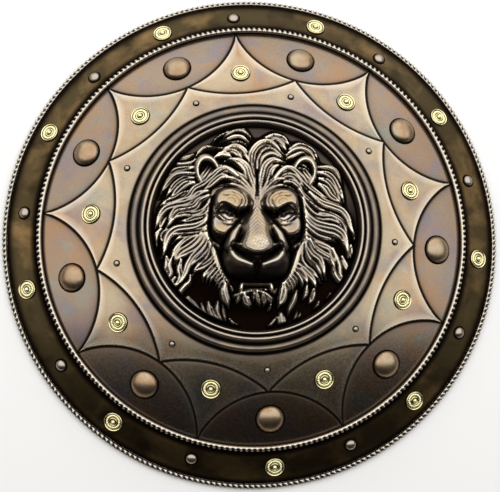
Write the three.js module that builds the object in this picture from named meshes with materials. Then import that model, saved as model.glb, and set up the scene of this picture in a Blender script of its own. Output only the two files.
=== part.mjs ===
// Round dished parade shield with a lion-mask medallion, lying face up on its rim.
// Millimetres, +Z up, +Y towards the top of the lion's head, origin under the centre.
import * as THREE from "three";
import { mergeVertices } from "three/addons/utils/BufferGeometryUtils.js";

// Overall
const outerRadius = 305;
const clearance = 0.3; // between pieces that touch
const columns = 72; // facets round the shield
const folds = 9; // repeats of the pattern
const firstBoss = -5.07; // angle of the first boss stud, degrees from +X
const plateThickness = 1.2;

// Outer roped edge: a bead that the shield lies on
const edgeBeadWidth = 6.4;
const edgeBeadHeight = 6.2;

// Rim band on the sloping flange
const bandOuterRadius = outerRadius - edgeBeadWidth - clearance;
const bandInnerRadius = 257.5;
const bandSlope = 0.49;
const bandOuterHeight = 5.1;
const bandThickness = 1.5;

// Inner roped ring, where the band meets the dome
const ropeRadius = 257.9;
const ropeHalfWidth = 3.0;
const ropeCrest = 31.6;

// Dome: a shallow arc from the rope in to the medallion
const domeFoot = new THREE.Vector2(255.0, 27.6);
const domeTop = new THREE.Vector2(149.5, 68.3);
const domeSagitta = 2.0;
const centreRadius = 130; // flat centre behind the medallion
const centreHeight = 68.3;
const seatRadius = 143.5; // under the medallion's frame
const backBendRadius = 200;

// Embossed pattern, in two steps that rise towards the middle
const stepHeight = 1.2;
const stepRun = 1.6;
const pointRadius = 253.2; // outer points of the lobes
const valleyRadius = 192.8; // between two lobes
const lobeRadius = 166.8; // innermost part of a lobe
const embossedDepth = 2 * stepHeight + 1.6; // from the highest field's front to the back

// Studs, rosettes and rivets: distance from the centre and size
const bossRadius = 223.7;
const bossWidth = 33;
const bossHeight = 9;
const innerRosetteRadius = 195.2;
const rimRosetteRadius = 279.6;
// Degrees by which each hand-placed rim rosette sits off its boss stud's line
const rimRosetteOffsets = [-0.4, -0.6, 0.5, -1.1, -0.7, -1.6, -1.1, -1.5, -1.8];
const rosetteWidth = 23;
const rimRivetRadius = 278.6;
const rimRivetWidth = 13.5;
const rimRivetHeight = 4.2;
const smallRivetRadius = 167.9;
const smallRivetWidth = 6.6;
const smallRivetHeight = 2.6;

// Medallion: turned frame and sunk floor
const frameSegments = 48;
const floorRadius = 120;
const floorHeight = 72;
const frameProfile = [
  [124.6, 80.6],
  [126.8, 82.6],
  [128.9, 79.8],
  [131.2, 82.2],
  [134.2, 82.4],
  [136.4, 78.2],
  [140.4, 73.6],
  [143.6, 74.6],
  [147.2, 72.2],
  [150.1, 69.2],
];
const reliefTolerance = 3.8; // how far the faceted relief strays from the true one

// Straps on the back: [middle x, half span, drop below the plate, width]
const strapThickness = 4;
const strapTab = 24;
const straps = [
  { name: "arm_strap", x: 58, halfSpan: 74, drop: 57, width: 44 },
  { name: "grip_strap", x: -72, halfSpan: 56, drop: 46, width: 30 },
];
const strapRivetWidth = 12;
const strapRivetHeight = 2.4;

const material = (color, roughness, metalness) =>
  new THREE.MeshStandardMaterial({ color, roughness, metalness });
const agedSteel = material(0x7d6a58, 0.38, 0.9);
const darkSteel = material(0x3a3029, 0.42, 0.9);
const wornSteel = material(0x8f8473, 0.4, 0.9);
const pewter = material(0x75716b, 0.35, 0.9);
const brass = material(0xc9a862, 0.3, 0.95);
const leather = material(0x3b2618, 0.75, 0);

const shield = new THREE.Group();
shield.name = "shield";

const radians = THREE.MathUtils.degToRad;
const clamp = THREE.MathUtils.clamp;

function addMesh(name, geometry, look, parent = shield) {
  const mesh = new THREE.Mesh(geometry, look);
  mesh.name = name;
  parent.add(mesh);
  return mesh;
}

// A ring or disc turned about +Z from [radius, height] points; ends on the axis or closes
function turned(points, segments) {
  const profile = points.map(([r, z]) => new THREE.Vector2(r, z));
  const lathe = new THREE.LatheGeometry(profile, segments);
  lathe.rotateX(Math.PI / 2);
  return lathe;
}

// An indexed geometry from points and triangles, cleaned of doubled points
function solid(points, triangles) {
  const geometry = new THREE.BufferGeometry();
  geometry.setAttribute("position", new THREE.Float32BufferAttribute(points.flat(), 3));
  geometry.setIndex(triangles.flat());
  const merged = mergeVertices(geometry, 1e-4);
  merged.computeVertexNormals();
  return merged;
}

// Height of the dome's front at a distance from the centre
const domeChord = domeFoot.distanceTo(domeTop);
const domeArcRadius = (domeChord * domeChord) / (8 * domeSagitta);
function domeHeight(r) {
  const along = clamp((domeFoot.x - r) / (domeFoot.x - domeTop.x), 0, 1.2);
  const chordHeight = THREE.MathUtils.lerp(domeFoot.y, domeTop.y, along);
  const off = (along - 0.5) * domeChord;
  const bulge = Math.sqrt(domeArcRadius ** 2 - off ** 2) - (domeArcRadius - domeSagitta);
  return chordHeight + bulge;
}

function domeTilt(r) {
  return Math.atan2(domeHeight(r - 1) - domeHeight(r + 1), 2);
}

const backHeight = centreHeight - embossedDepth; // flat middle of the back
const bandHeight = (r) => bandOuterHeight + bandSlope * (bandOuterRadius - r);
const bandTilt = Math.atan(bandSlope);

// Distance to a circular arc that runs from a cusp at each side to its lowest point in the middle
const sector = radians(360 / folds);
function arcRadius(angle, middle, cuspRadius, lowRadius) {
  const half = sector / 2;
  const off = angle - middle - sector * Math.round((angle - middle) / sector);
  const centre =
    (cuspRadius ** 2 - lowRadius ** 2) / (2 * (cuspRadius * Math.cos(half) - lowRadius));
  const radius = centre - lowRadius;
  return centre * Math.cos(off) - Math.sqrt(radius ** 2 - (centre * Math.sin(off)) ** 2);
}

const bossAngle = (k) => radians(firstBoss) - sector * k;
const rosetteAngle = (k) => bossAngle(k) - sector / 2;
const fieldEdge = (angle) => arcRadius(angle, bossAngle(0), pointRadius, valleyRadius);
const lobeEdge = (angle) => {
  const edge = arcRadius(angle, rosetteAngle(0), valleyRadius, lobeRadius);
  return Math.min(edge, fieldEdge(angle) - 2 * stepRun);
};

const underBand = bandThickness / Math.cos(bandTilt) + clearance;
const flangeHeight = (r) => bandHeight(r) - underBand;

// Rows of the body's front at one angle, from the flat centre to the rim: radius and height
function bodyFront(angle) {
  const lobe = lobeEdge(angle);
  const field = fieldEdge(angle);
  const level = (r, steps) => [r, domeHeight(r) - steps * stepHeight];
  return [
    [centreRadius, centreHeight],
    level(seatRadius, 0),
    level(lobe - stepRun, 0),
    level(lobe, 1),
    level(field - stepRun, 1),
    level(field, 2),
    level(domeFoot.x, 2),
    [bandInnerRadius, flangeHeight(bandInnerRadius)],
    [bandOuterRadius, flangeHeight(bandOuterRadius)],
  ];
}

// Rows of its plain back, from the rim in to the centre
function bodyBack() {
  const flange = (r) => flangeHeight(r) - plateThickness;
  return [
    [bandOuterRadius, flange(bandOuterRadius)],
    [bandInnerRadius - 1, flange(bandInnerRadius)],
    [domeFoot.x - 3, domeHeight(domeFoot.x) - embossedDepth],
    [backBendRadius, domeHeight(backBendRadius) - embossedDepth],
    [centreRadius - 2, backHeight],
  ];
}

function shieldBody() {
  const points = [
    [0, 0, centreHeight],
    [0, 0, backHeight],
  ];
  const rows = bodyFront(0).length + bodyBack().length;
  for (let j = 0; j < columns; j++) {
    const angle = radians(firstBoss) + (2 * Math.PI * j) / columns;
    for (const [r, z] of [...bodyFront(angle), ...bodyBack()]) {
      points.push([r * Math.cos(angle), r * Math.sin(angle), z]);
    }
  }
  const at = (j, i) => 2 + (j % columns) * rows + i;
  const triangles = [];
  for (let j = 0; j < columns; j++) {
    triangles.push([0, at(j, 0), at(j + 1, 0)]);
    triangles.push([1, at(j + 1, rows - 1), at(j, rows - 1)]);
    for (let i = 0; i < rows - 1; i++) {
      triangles.push([at(j, i), at(j, i + 1), at(j + 1, i + 1)]);
      triangles.push([at(j, i), at(j + 1, i + 1), at(j + 1, i)]);
    }
  }
  return solid(points, triangles);
}

function rimBand() {
  const low = bandThickness / Math.cos(bandTilt);
  return turned(
    [
      [bandInnerRadius, bandHeight(bandInnerRadius)],
      [bandInnerRadius, bandHeight(bandInnerRadius) - low],
      [bandOuterRadius, bandHeight(bandOuterRadius) - low],
      [bandOuterRadius, bandHeight(bandOuterRadius)],
      [bandInnerRadius, bandHeight(bandInnerRadius)],
    ],
    columns,
  );
}

function outerRopedEdge() {
  const inner = outerRadius - edgeBeadWidth;
  const middle = edgeBeadHeight / 2;
  const flat = edgeBeadWidth / 4;
  return turned(
    [
      [inner, middle],
      [inner + flat, 0],
      [outerRadius - flat, 0],
      [outerRadius, middle],
      [outerRadius - flat, edgeBeadHeight],
      [inner + flat, edgeBeadHeight],
      [inner, middle],
    ],
    columns,
  );
}

function innerRopedRing() {
  const base = bandHeight(ropeRadius) + clearance;
  const shoulder = ropeCrest - 1.4;
  return turned(
    [
      [ropeRadius - ropeHalfWidth + 0.6, base + 1.6],
      [ropeRadius + 0.4, base],
      [ropeRadius + ropeHalfWidth, base - bandSlope * ropeHalfWidth + 0.6],
      [ropeRadius + 0.8, ropeCrest],
      [ropeRadius - ropeHalfWidth * 0.6, shoulder],
      [ropeRadius - ropeHalfWidth + 0.6, base + 1.6],
    ],
    columns,
  );
}

// Domed head with a flat underside: rows of a spherical cap
function domedHead(width, height, segments, rows) {
  const profile = [
    [0, 0],
    [width / 2, 0],
  ];
  for (let i = 1; i <= rows; i++) {
    const turn = (Math.PI / 2) * (i / rows);
    profile.push([(width / 2) * Math.cos(turn), height * Math.sin(turn)]);
  }
  return turned(profile, segments);
}

function rosette() {
  const r = rosetteWidth / 2;
  return turned(
    [
      [0, 0],
      [r, 0],
      [r - 1.6, 2.6],
      [r * 0.4, 1.6],
      [0, 4.4],
    ],
    9,
  );
}

// Stands a head on the dome or band at an angle and radius, square to the surface
function standOn(mesh, angle, r, height, tilt) {
  const spoke = new THREE.Group();
  spoke.rotation.z = angle;
  const seat = new THREE.Group();
  seat.position.set(r + clearance * Math.sin(tilt), 0, height + clearance * Math.cos(tilt));
  seat.rotation.y = tilt;
  seat.add(mesh);
  spoke.add(seat);
  shield.add(spoke);
}

// Lion relief: heights in mm above the sunk floor, x to the right and y to the crown
const smoothStep = (a, b, x) => {
  const t = clamp((x - a) / (b - a), 0, 1);
  return t * t * (3 - 2 * t);
};

function smoothMax(a, b, k) {
  const h = clamp(0.5 + (0.5 * (a - b)) / k, 0, 1);
  return b + (a - b) * h + k * h * (1 - h);
}

// Radius in an ellipse's own units: 0 at its centre, 1 on its edge
function ellipse(x, y, cx, cy, rx, ry, turn = 0) {
  const c = Math.cos(radians(turn));
  const s = Math.sin(radians(turn));
  const u = (c * (x - cx) + s * (y - cy)) / rx;
  const v = (-s * (x - cx) + c * (y - cy)) / ry;
  return Math.hypot(u, v);
}

function dome(x, y, cx, cy, rx, ry, height, turn = 0) {
  const q = ellipse(x, y, cx, cy, rx, ry, turn);
  return q < 1 ? height * Math.sqrt(1 - q * q) : -12 * (q - 1);
}

// A flat-topped mound with steep sides
function slab(x, y, cx, cy, rx, ry, height, turn = 0, power = 3.5) {
  const q = ellipse(x, y, cx, cy, rx, ry, turn);
  return q < 1 ? height * Math.sqrt(1 - q ** power) : -12 * (q - 1);
}

const bell = (q) => Math.exp(-q * q);

// Catmull-Rom curve through [x, y] points, as short straight pieces
function spline(points) {
  const curve = new THREE.CatmullRomCurve3(
    points.map(([x, y]) => new THREE.Vector3(x, y, 0)),
    false,
    "catmullrom",
    0.5,
  );
  return curve.getPoints(4 * (points.length - 1)).map((p) => [p.x, p.y]);
}

// Nearest point of a path: share of the way along it, and signed distance off it
function nearest(path, x, y) {
  let best = Infinity;
  let along = 0;
  let side = 0;
  for (let i = 0; i + 1 < path.length; i++) {
    const [ax, ay] = path[i];
    const dx = path[i + 1][0] - ax;
    const dy = path[i + 1][1] - ay;
    const t = clamp(((x - ax) * dx + (y - ay) * dy) / (dx * dx + dy * dy), 0, 1);
    const ex = x - ax - t * dx;
    const ey = y - ay - t * dy;
    const distance = ex * ex + ey * ey;
    if (distance < best) {
      best = distance;
      along = (i + t) / (path.length - 1);
      side = Math.sign(dx * ey - dy * ex);
    }
  }
  return { along, off: side * Math.sqrt(best) };
}

// Named lines of the face, for its right half and mirrored
const browCrease = spline([[50, 14], [42, 18.5], [32, 17.5], [22, 11.5], [14, 3]]);
const tearLine = spline([[19, 2], [24, -9], [33, -21], [44, -27]]);
const nostril = spline([[26.5, -29], [22, -37], [15, -43], [8, -46]]);
const lipRim = spline([[30.5, -30], [27, -41], [18, -50], [9, -54]]);

function noseBridge(side, y) {
  const half = 13 + 14 * smoothStep(14, -28, y);
  const crest = 34 + 19 * smoothStep(36, -24, y);
  const top = crest - 14 * Math.min(side / half, 1.5) ** 3;
  const tipFall = 24 * smoothStep(-32, -46, y) + 60 * smoothStep(-46, -58, y);
  return top - tipFall - 20 * smoothStep(30, 44, y);
}

function faceForm(side, y) {
  let h = slab(side, y, 0, 2, 52.5, 58, 26); // skull
  h = smoothMax(h, dome(side, y, 37, -4, 17, 24, 31, -8), 3); // cheekbones
  h = smoothMax(h, dome(side, y, 0, -40, 43, 32, 34), 4); // muzzle
  h = smoothMax(h, dome(side, y, 18, -51, 22, 19, 42), 4); // whisker pads
  h = smoothMax(h, dome(side, y, 0, 36, 38, 26, 32), 5); // forehead
  h = smoothMax(h, slab(side, y, 28, 29, 22, 12.5, 38, 16, 2.6), 3); // brows
  h = smoothMax(h, noseBridge(side, y), 3);
  return h - 3.5 * bell(side / 2.2) * smoothStep(14, 30, y); // crease of the forehead
}

function carveEye(h, side, y) {
  const crease = nearest(browCrease, side, y);
  const tear = nearest(tearLine, side, y);
  const q = ellipse(side, y, 33.5, 9.5, 12.5, 5, 13);
  h -= (4.5 + 5 * crease.along) * bell(crease.off / (2 + 2.2 * crease.along));
  h -= 6 * (1 - 0.3 * tear.along) * bell(tear.off / 2.6);
  const ball = 25 + 4.5 * Math.sqrt(Math.max(1 - q * q, 0));
  return (q < 1 ? ball : h) + 2 * bell((q - 1.25) / 0.22);
}

function carveMouth(h, side, y) {
  const hole = nearest(nostril, side, y);
  const rim = nearest(lipRim, side, y);
  h -= 12 * (1 - 0.4 * hole.along) * bell(hole.off / 3.4);
  h += 2.6 * bell(rim.off / 2.2);
  h -= 9 * bell(side / 3.2) * smoothStep(-40, -48, y) * smoothStep(-74, -66, y);
  const gap = smoothStep(1.12, 0.92, Math.max(side / 22, Math.abs(y + 75) / 6));
  h = THREE.MathUtils.lerp(h, 12, gap);
  const teeth = smoothStep(1.12, 0.85, Math.max(side / 17, Math.abs(y + 71.5) / 2.4));
  const canine = ellipse(side, y, 18.5, -74.5, 3.2, 7);
  h = Math.max(h, 25 * teeth);
  return canine < 1 ? Math.max(h, 22 + 7 * Math.sqrt(1 - canine * canine)) : h;
}

// Lower lip with a tuft of short locks hanging from it
function chinForm(side, x, y) {
  const h = smoothMax(dome(side, y, 0, -86, 23, 6.5, 27), dome(side, y, 0, -92, 21, 13, 25), 3);
  if (h <= 0) return h;
  const spread = x * (1 - 0.008 * (y + 82));
  const cut = Math.abs(Math.cos((spread / 4.4) * (Math.PI / 2))) ** 3;
  return h - 2 * cut * smoothStep(-84, -92, y);
}

// A rounded ear, open to the front
function earForm(side, y) {
  const q = ellipse(side, y, 57, 63, 17.5, 23, -14);
  const inner = ellipse(side, y, 56, 58, 13.5, 20, -14);
  return q < 1 ? 22 * Math.sqrt(1 - q ** 5) - 9 * smoothStep(0.95, 0.7, inner) : -5;
}

// A lock of hair: a tapered, crowned ribbon along a path
function lockHeight({ path, halfWidth, root, tip }, x, y) {
  const { along, off } = nearest(path, x, y);
  const swell = 0.45 + 0.55 * smoothStep(0, 0.35, along);
  const taper = 1 - 0.94 * smoothStep(0.5, 1, along) ** 1.2;
  const q = off / (halfWidth * swell * taper);
  if (Math.abs(q) >= 1) return -5;
  return root + (tip - root) * along - 5.5 * (1 - Math.sqrt(1 - q * q));
}

// A repeatable scatter between -amount and amount
const vary = (k, amount) => amount * Math.sin(12.9898 * k + 4.1414);

// Path of a side lock, from the angle and radius of its root to those of its tip
function sideLockPath(side, rootAngle, rootRadius, tipAngle, tipRadius, sway) {
  const steps = 12;
  const line = [];
  for (let i = 0; i <= steps; i++) {
    const t = i / steps;
    const angle = radians(rootAngle + (tipAngle - rootAngle) * t ** 1.3);
    const r = rootRadius + (tipRadius - rootRadius) * (1 - (1 - t) ** 1.25);
    line.push([r * Math.sin(angle), r * Math.cos(angle)]);
  }
  return line.map(([x, y], i) => {
    const [ax, ay] = line[Math.max(i - 1, 0)];
    const [bx, by] = line[Math.min(i + 1, steps)];
    const length = Math.hypot(bx - ax, by - ay);
    const s = sway * Math.sin((2.2 * Math.PI * i) / steps);
    return [side * (x - ((by - ay) / length) * s), y + ((bx - ax) / length) * s];
  });
}

// Tiers of the side mane, back to front: angles are from the crown, for the first and last lock
const tiers = [
  { count: 10, roots: [46, 160], tips: [72, 168], reach: [76, 120], heights: [14, 8] },
  { count: 12, roots: [53, 156], tips: [72, 163], reach: [56, 114], heights: [21, 11] },
  { count: 10, roots: [58, 150], tips: [76, 158], reach: [51, 100], heights: [26, 15] },
  { count: 6, roots: [100, 140], tips: [112, 150], reach: [49, 76], heights: [29, 20] },
];
const tierHalfWidths = [8.5, 8, 7, 5.5];
const tierSways = [4, 5, 4.5, 2.5];

function sideLocks() {
  const locks = [];
  for (const side of [-1, 1]) {
    for (const [row, tier] of tiers.entries()) {
      for (let i = 0; i < tier.count; i++) {
        const k = locks.length + 1;
        const share = i / (tier.count - 1);
        const lift = 1.5 * (i % 2);
        const rootAngle = THREE.MathUtils.lerp(...tier.roots, share) + vary(k, 2);
        const tipAngle = THREE.MathUtils.lerp(...tier.tips, share) + vary(k + 50, 3);
        const tipRadius = tier.reach[1] - 4 + vary(k + 90, 5);
        const sway = tierSways[row] * (1 + vary(k + 20, 0.3));
        locks.push({
          path: sideLockPath(side, rootAngle, tier.reach[0], tipAngle, tipRadius, sway),
          halfWidth: tierHalfWidths[row] * (1 + vary(k + 7, 0.2)),
          root: tier.heights[0] + lift,
          tip: tier.heights[1] + lift,
        });
      }
    }
  }
  return locks;
}

const lock = (points, halfWidth, root, tip) => ({ path: spline(points), halfWidth, root, tip });

// Locks of the crown, from the parting outwards: behind the ears and in front of them
const crownBehind = [
  lock([[-4, 96], [-17, 108], [-38, 103], [-52, 91]], 8.5, 15, 10),
  lock([[-8, 88], [-22, 100], [-40, 97], [-56, 84]], 8, 17, 13),
  lock([[-6, 70], [-14, 86], [-30, 90], [-50, 89], [-67, 84], [-73, 72]], 8, 20, 18),
  lock([[-4, 103], [16, 106], [33, 100], [41, 90]], 8, 14, 11),
  lock([[-2, 64], [3, 86], [15, 96], [30, 90], [38, 76]], 9, 21, 18),
  lock([[8, 66], [14, 78], [24, 80], [34, 74]], 6, 22, 20),
  lock([[36, 80], [45, 92], [60, 93], [72, 80], [76, 64]], 7.5, 18, 15),
];
const crownFront = [
  lock([[-3, 66], [-9, 78], [-22, 84], [-36, 78], [-44, 68]], 7, 22, 20),
  lock([[-1, 28], [-6, 56], [-20, 72], [-38, 71]], 7, 27, 24),
  lock([[-3, 30], [-16, 54], [-36, 60], [-58, 52], [-80, 43], [-104, 32]], 8, 28, 15),
  lock([[-70, 74], [-88, 76], [-102, 62], [-113, 28]], 9, 14, 8),
  lock([[-70, 60], [-86, 56], [-96, 44], [-103, 28]], 7.5, 17, 11),
  lock([[2, 28], [7, 56], [20, 70], [38, 68]], 7, 27, 24),
  lock([[4, 30], [18, 54], [36, 61], [54, 52], [74, 35], [104, 20]], 8, 28, 15),
  lock([[72, 66], [88, 70], [102, 54], [110, 22]], 9, 14, 8),
  lock([[70, 54], [86, 50], [96, 38], [104, 22]], 7.5, 17, 11),
];
// Tufts of the jaw and beard, for the right half and mirrored
const beard = [
  lock([[31, -66], [41, -80], [38, -102]], 7, 23, 17),
  lock([[38, -58], [54, -74], [54, -96], [46, -112]], 8, 18, 10),
  lock([[46, -50], [64, -64], [68, -84], [62, -104]], 8, 17, 9),
  lock([[5, -94], [9, -108], [4, -120]], 7, 19, 11),
  lock([[15, -94], [22, -106], [17, -120]], 7, 18, 10),
  lock([[25, -88], [34, -103], [31, -117]], 7, 17, 10),
];
const behindEars = [...sideLocks(), ...crownBehind];

function maneHeight(side, x, y) {
  let h = 9 * smoothStep(112, 84, Math.hypot(x, y));
  for (const one of behindEars) h = Math.max(h, lockHeight(one, x, y));
  for (const one of beard) h = Math.max(h, lockHeight(one, side, y));
  h = Math.max(h, earForm(side, y));
  for (const one of crownFront) h = Math.max(h, lockHeight(one, x, y));
  // The hair starts just outside the face, and the crown falls over the forehead
  const outside = smoothStep(1, 1.07, ellipse(x, y, 0, -6, 53, 56));
  const overForehead = smoothStep(24, 36, y) * smoothStep(58, 50, side);
  return h * Math.max(outside, overForehead);
}

function lionHeight(x, y) {
  const side = Math.abs(x);
  const head = carveMouth(carveEye(faceForm(side, y), side, y), side, y);
  const h = Math.max(maneHeight(side, x, y), head, chinForm(side, x, y), 0);
  return h * smoothStep(floorRadius, floorRadius - 2, Math.hypot(x, y));
}

// Adaptive mesh of a height field on a disc. A square grid of right triangles, each split in
// two where the surface strays, is drawn onto the disc: a point of the square keeps its turn.
const gridCells = 64; // a power of two
const coarsestCell = 4; // grid cells
function discPoint(i, j) {
  const u = Math.SQRT2 * Math.sin(((2 * i) / gridCells - 1) * (Math.PI / 4));
  const v = Math.SQRT2 * Math.sin(((2 * j) / gridCells - 1) * (Math.PI / 4));
  return [
    floorRadius * u * Math.sqrt(1 - (v * v) / 2),
    floorRadius * v * Math.sqrt(1 - (u * u) / 2),
  ];
}

function adaptiveDisc(heightAt, tolerance) {
  const size = gridCells + 1;
  const heights = new Float64Array(size * size);
  const errors = new Float64Array(size * size);
  for (let j = 0; j < size; j++) {
    for (let i = 0; i < size; i++) heights[j * size + i] = heightAt(...discPoint(i, j));
  }
  const middle = (a, b) => [(a[0] + b[0]) / 2, (a[1] + b[1]) / 2];
  const index = ([i, j]) => j * size + i;
  const long = (a, b) => Math.max(Math.abs(a[0] - b[0]), Math.abs(a[1] - b[1]));
  const corners = [
    [[0, 0], [gridCells, gridCells], [gridCells, 0]],
    [[gridCells, gridCells], [0, 0], [0, gridCells]],
  ];
  // Every triangle of the full tree, level by level; a, b are the ends of its long side
  const levels = [corners];
  while (levels.at(-1)[0][0].some((value, k) => Math.abs(value - levels.at(-1)[0][2][k]) > 1)) {
    levels.push(
      levels.at(-1).flatMap(([a, b, c]) => {
        const m = middle(a, b);
        return [[c, a, m], [b, c, m]];
      }),
    );
  }
  for (const level of levels.reverse()) {
    for (const [a, b, c] of level) {
      const m = middle(a, b);
      if (!Number.isInteger(m[0]) || !Number.isInteger(m[1])) continue;
      let error = Math.abs((heights[index(a)] + heights[index(b)]) / 2 - heights[index(m)]);
      if (long(a, b) > coarsestCell) error = Infinity;
      for (const child of [middle(a, c), middle(b, c)]) {
        if (child.every(Number.isInteger)) error = Math.max(error, errors[index(child)]);
      }
      errors[index(m)] = Math.max(errors[index(m)], error);
    }
  }
  const triangles = [];
  const split = (a, b, c) => {
    const m = middle(a, b);
    if (m.every(Number.isInteger) && errors[index(m)] > tolerance) {
      split(c, a, m);
      split(b, c, m);
    } else {
      triangles.push([a, c, b].map(index));
    }
  };
  for (const [a, b, c] of corners) split(a, b, c);
  const rim = new Set();
  for (const k of triangles.flat()) {
    const i = k % size;
    const j = (k - i) / size;
    if (i === 0 || j === 0 || i === gridCells || j === gridCells) rim.add(k);
  }
  const place = (k) => {
    const i = k % size;
    return [...discPoint(i, (k - i) / size), heights[k]];
  };
  return { triangles, rim: [...rim], place };
}

// Triangles between an inner and an outer ring of points, both in order of angle
function stitch(inner, outer, angleOf) {
  const triangles = [];
  let i = 0;
  let o = 0;
  const angle = (ring, k) =>
    angleOf(ring[k % ring.length]) + 2 * Math.PI * Math.floor(k / ring.length);
  while (i < inner.length || o < outer.length) {
    const innerNext = angle(inner, i + 1);
    const outerNext = angle(outer, o + 1);
    const from = [inner[i % inner.length], outer[o % outer.length]];
    if (o >= outer.length || (i < inner.length && innerNext <= outerNext)) {
      triangles.push([from[0], from[1], inner[(i + 1) % inner.length]]);
      i++;
    } else {
      triangles.push([from[0], from[1], outer[(o + 1) % outer.length]]);
      o++;
    }
  }
  return triangles;
}

// The medallion: relief, frame mouldings and a flat back, as one casting
function lionMedallion() {
  const { triangles: relief, rim, place } = adaptiveDisc(lionHeight, reliefTolerance);
  const points = [];
  const numbers = new Map();
  const add = (key, point) => {
    if (!numbers.has(key)) {
      numbers.set(key, points.length);
      points.push(point);
    }
    return numbers.get(key);
  };
  const triangles = relief.map((corner) =>
    corner.map((k) => {
      const [x, y, h] = place(k);
      return add(k, [x, y, floorHeight + h]);
    }),
  );
  const angleOf = (n) => {
    const angle = Math.atan2(points[n][1], points[n][0]);
    return angle < -1e-9 ? angle + 2 * Math.PI : Math.max(angle, 0);
  };
  const inner = rim.map((k) => numbers.get(k)).sort((a, b) => angleOf(a) - angleOf(b));
  const seat = centreHeight + clearance;
  const onDome = (r) => domeHeight(r) + clearance + 0.1;
  const rings = [
    ...frameProfile,
    [150.1, onDome(150.1)],
    [centreRadius + 4, onDome(centreRadius + 4)],
    [centreRadius - 4, seat],
  ].map(([r, z], row) =>
    Array.from({ length: frameSegments }, (_, k) => {
      const angle = (2 * Math.PI * k) / frameSegments;
      return add(`ring ${row} ${k}`, [r * Math.cos(angle), r * Math.sin(angle), z]);
    }),
  );
  triangles.push(...stitch(inner, rings[0], angleOf));
  for (let row = 0; row + 1 < rings.length; row++) {
    for (let k = 0; k < frameSegments; k++) {
      const next = (k + 1) % frameSegments;
      const [a, b] = [rings[row][k], rings[row][next]];
      const [c, d] = [rings[row + 1][k], rings[row + 1][next]];
      triangles.push([a, c, d], [a, d, b]);
    }
  }
  const back = add("back", [0, 0, seat]);
  rings.at(-1).forEach((n, k, ring) => triangles.push([back, ring[(k + 1) % ring.length], n]));
  return solid(points, triangles);
}

// A strap: two flat tabs on the plate's back joined by a bow that hangs below it
function strapShape({ halfSpan, drop }) {
  const tabEnd = halfSpan + strapTab;
  const outline = (inset) => {
    const path = new THREE.Path();
    const bend = Math.min(drop * 0.45, 20);
    path.moveTo(tabEnd, -inset);
    path.lineTo(halfSpan, -inset);
    path.bezierCurveTo(
      halfSpan - bend + inset, -inset,
      halfSpan + inset, -drop + strapThickness - inset,
      halfSpan - 2 * bend, -drop + strapThickness - inset,
    );
    path.lineTo(-halfSpan + 2 * bend, -drop + strapThickness - inset);
    path.bezierCurveTo(
      -halfSpan - inset, -drop + strapThickness - inset,
      -halfSpan + bend - inset, -inset,
      -halfSpan, -inset,
    );
    path.lineTo(-tabEnd, -inset);
    return path.getPoints(5);
  };
  return new THREE.Shape([...outline(0), ...outline(strapThickness).reverse()]);
}

function addStrap(spec) {
  const geometry = new THREE.ExtrudeGeometry(strapShape(spec), {
    depth: spec.width,
    bevelEnabled: false,
    steps: 1,
  });
  geometry.translate(0, 0, -spec.width / 2);
  geometry.rotateX(Math.PI / 2);
  geometry.rotateZ(Math.PI / 2);
  const strap = addMesh(spec.name, geometry, leather);
  strap.position.set(spec.x, 0, backHeight - clearance);
  for (const end of [-1, 1]) {
    const head = domedHead(strapRivetWidth, strapRivetHeight, 8, 2);
    const name = `${spec.name}_rivet_${end < 0 ? "lower" : "upper"}`;
    const rivet = addMesh(name, head, wornSteel);
    rivet.rotation.x = Math.PI;
    rivet.position.set(
      spec.x,
      end * (spec.halfSpan + strapTab / 2),
      backHeight - strapThickness - 2 * clearance,
    );
  }
}

addMesh("shield_body", shieldBody(), agedSteel);
addMesh("rim_band", rimBand(), darkSteel).rotation.z = radians(firstBoss);
addMesh("outer_roped_edge", outerRopedEdge(), wornSteel).rotation.z = radians(firstBoss);
addMesh("inner_roped_ring", innerRopedRing(), wornSteel).rotation.z = radians(firstBoss);
addMesh("lion_medallion", lionMedallion(), pewter);

for (let k = 0; k < folds; k++) {
  const add = (name, geometry, look) => {
    const mesh = new THREE.Mesh(geometry, look);
    mesh.name = `${name}_${k + 1}`;
    return mesh;
  };
  const onStep = (r, steps) => domeHeight(r) - steps * stepHeight;
  const boss = add("boss_stud", domedHead(bossWidth, bossHeight, 12, 3), agedSteel);
  standOn(boss, bossAngle(k), bossRadius, onStep(bossRadius, 2), domeTilt(bossRadius));
  const inner = add("inner_rosette", rosette(), brass);
  standOn(
    inner,
    rosetteAngle(k),
    innerRosetteRadius,
    onStep(innerRosetteRadius, 1),
    domeTilt(innerRosetteRadius),
  );
  const small = add("small_rivet", domedHead(smallRivetWidth, smallRivetHeight, 6, 2), wornSteel);
  standOn(
    small,
    bossAngle(k),
    smallRivetRadius,
    onStep(smallRivetRadius, 0),
    domeTilt(smallRivetRadius),
  );
  const outer = add("rim_rosette", rosette(), brass);
  const outerAngle = bossAngle(k) + radians(rimRosetteOffsets[k]);
  standOn(outer, outerAngle, rimRosetteRadius, bandHeight(rimRosetteRadius), bandTilt);
  const rivet = add("rim_rivet", domedHead(rimRivetWidth, rimRivetHeight, 8, 2), wornSteel);
  standOn(rivet, rosetteAngle(k), rimRivetRadius, bandHeight(rimRivetRadius), bandTilt);
}
for (const spec of straps) addStrap(spec);

export default shield;
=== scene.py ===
"""Round parade shield with a lion-mask medallion, laid out as a Blender add-on and run as a script."""
import math

import bpy
import numpy as np
from mathutils import Matrix, Vector


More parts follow.
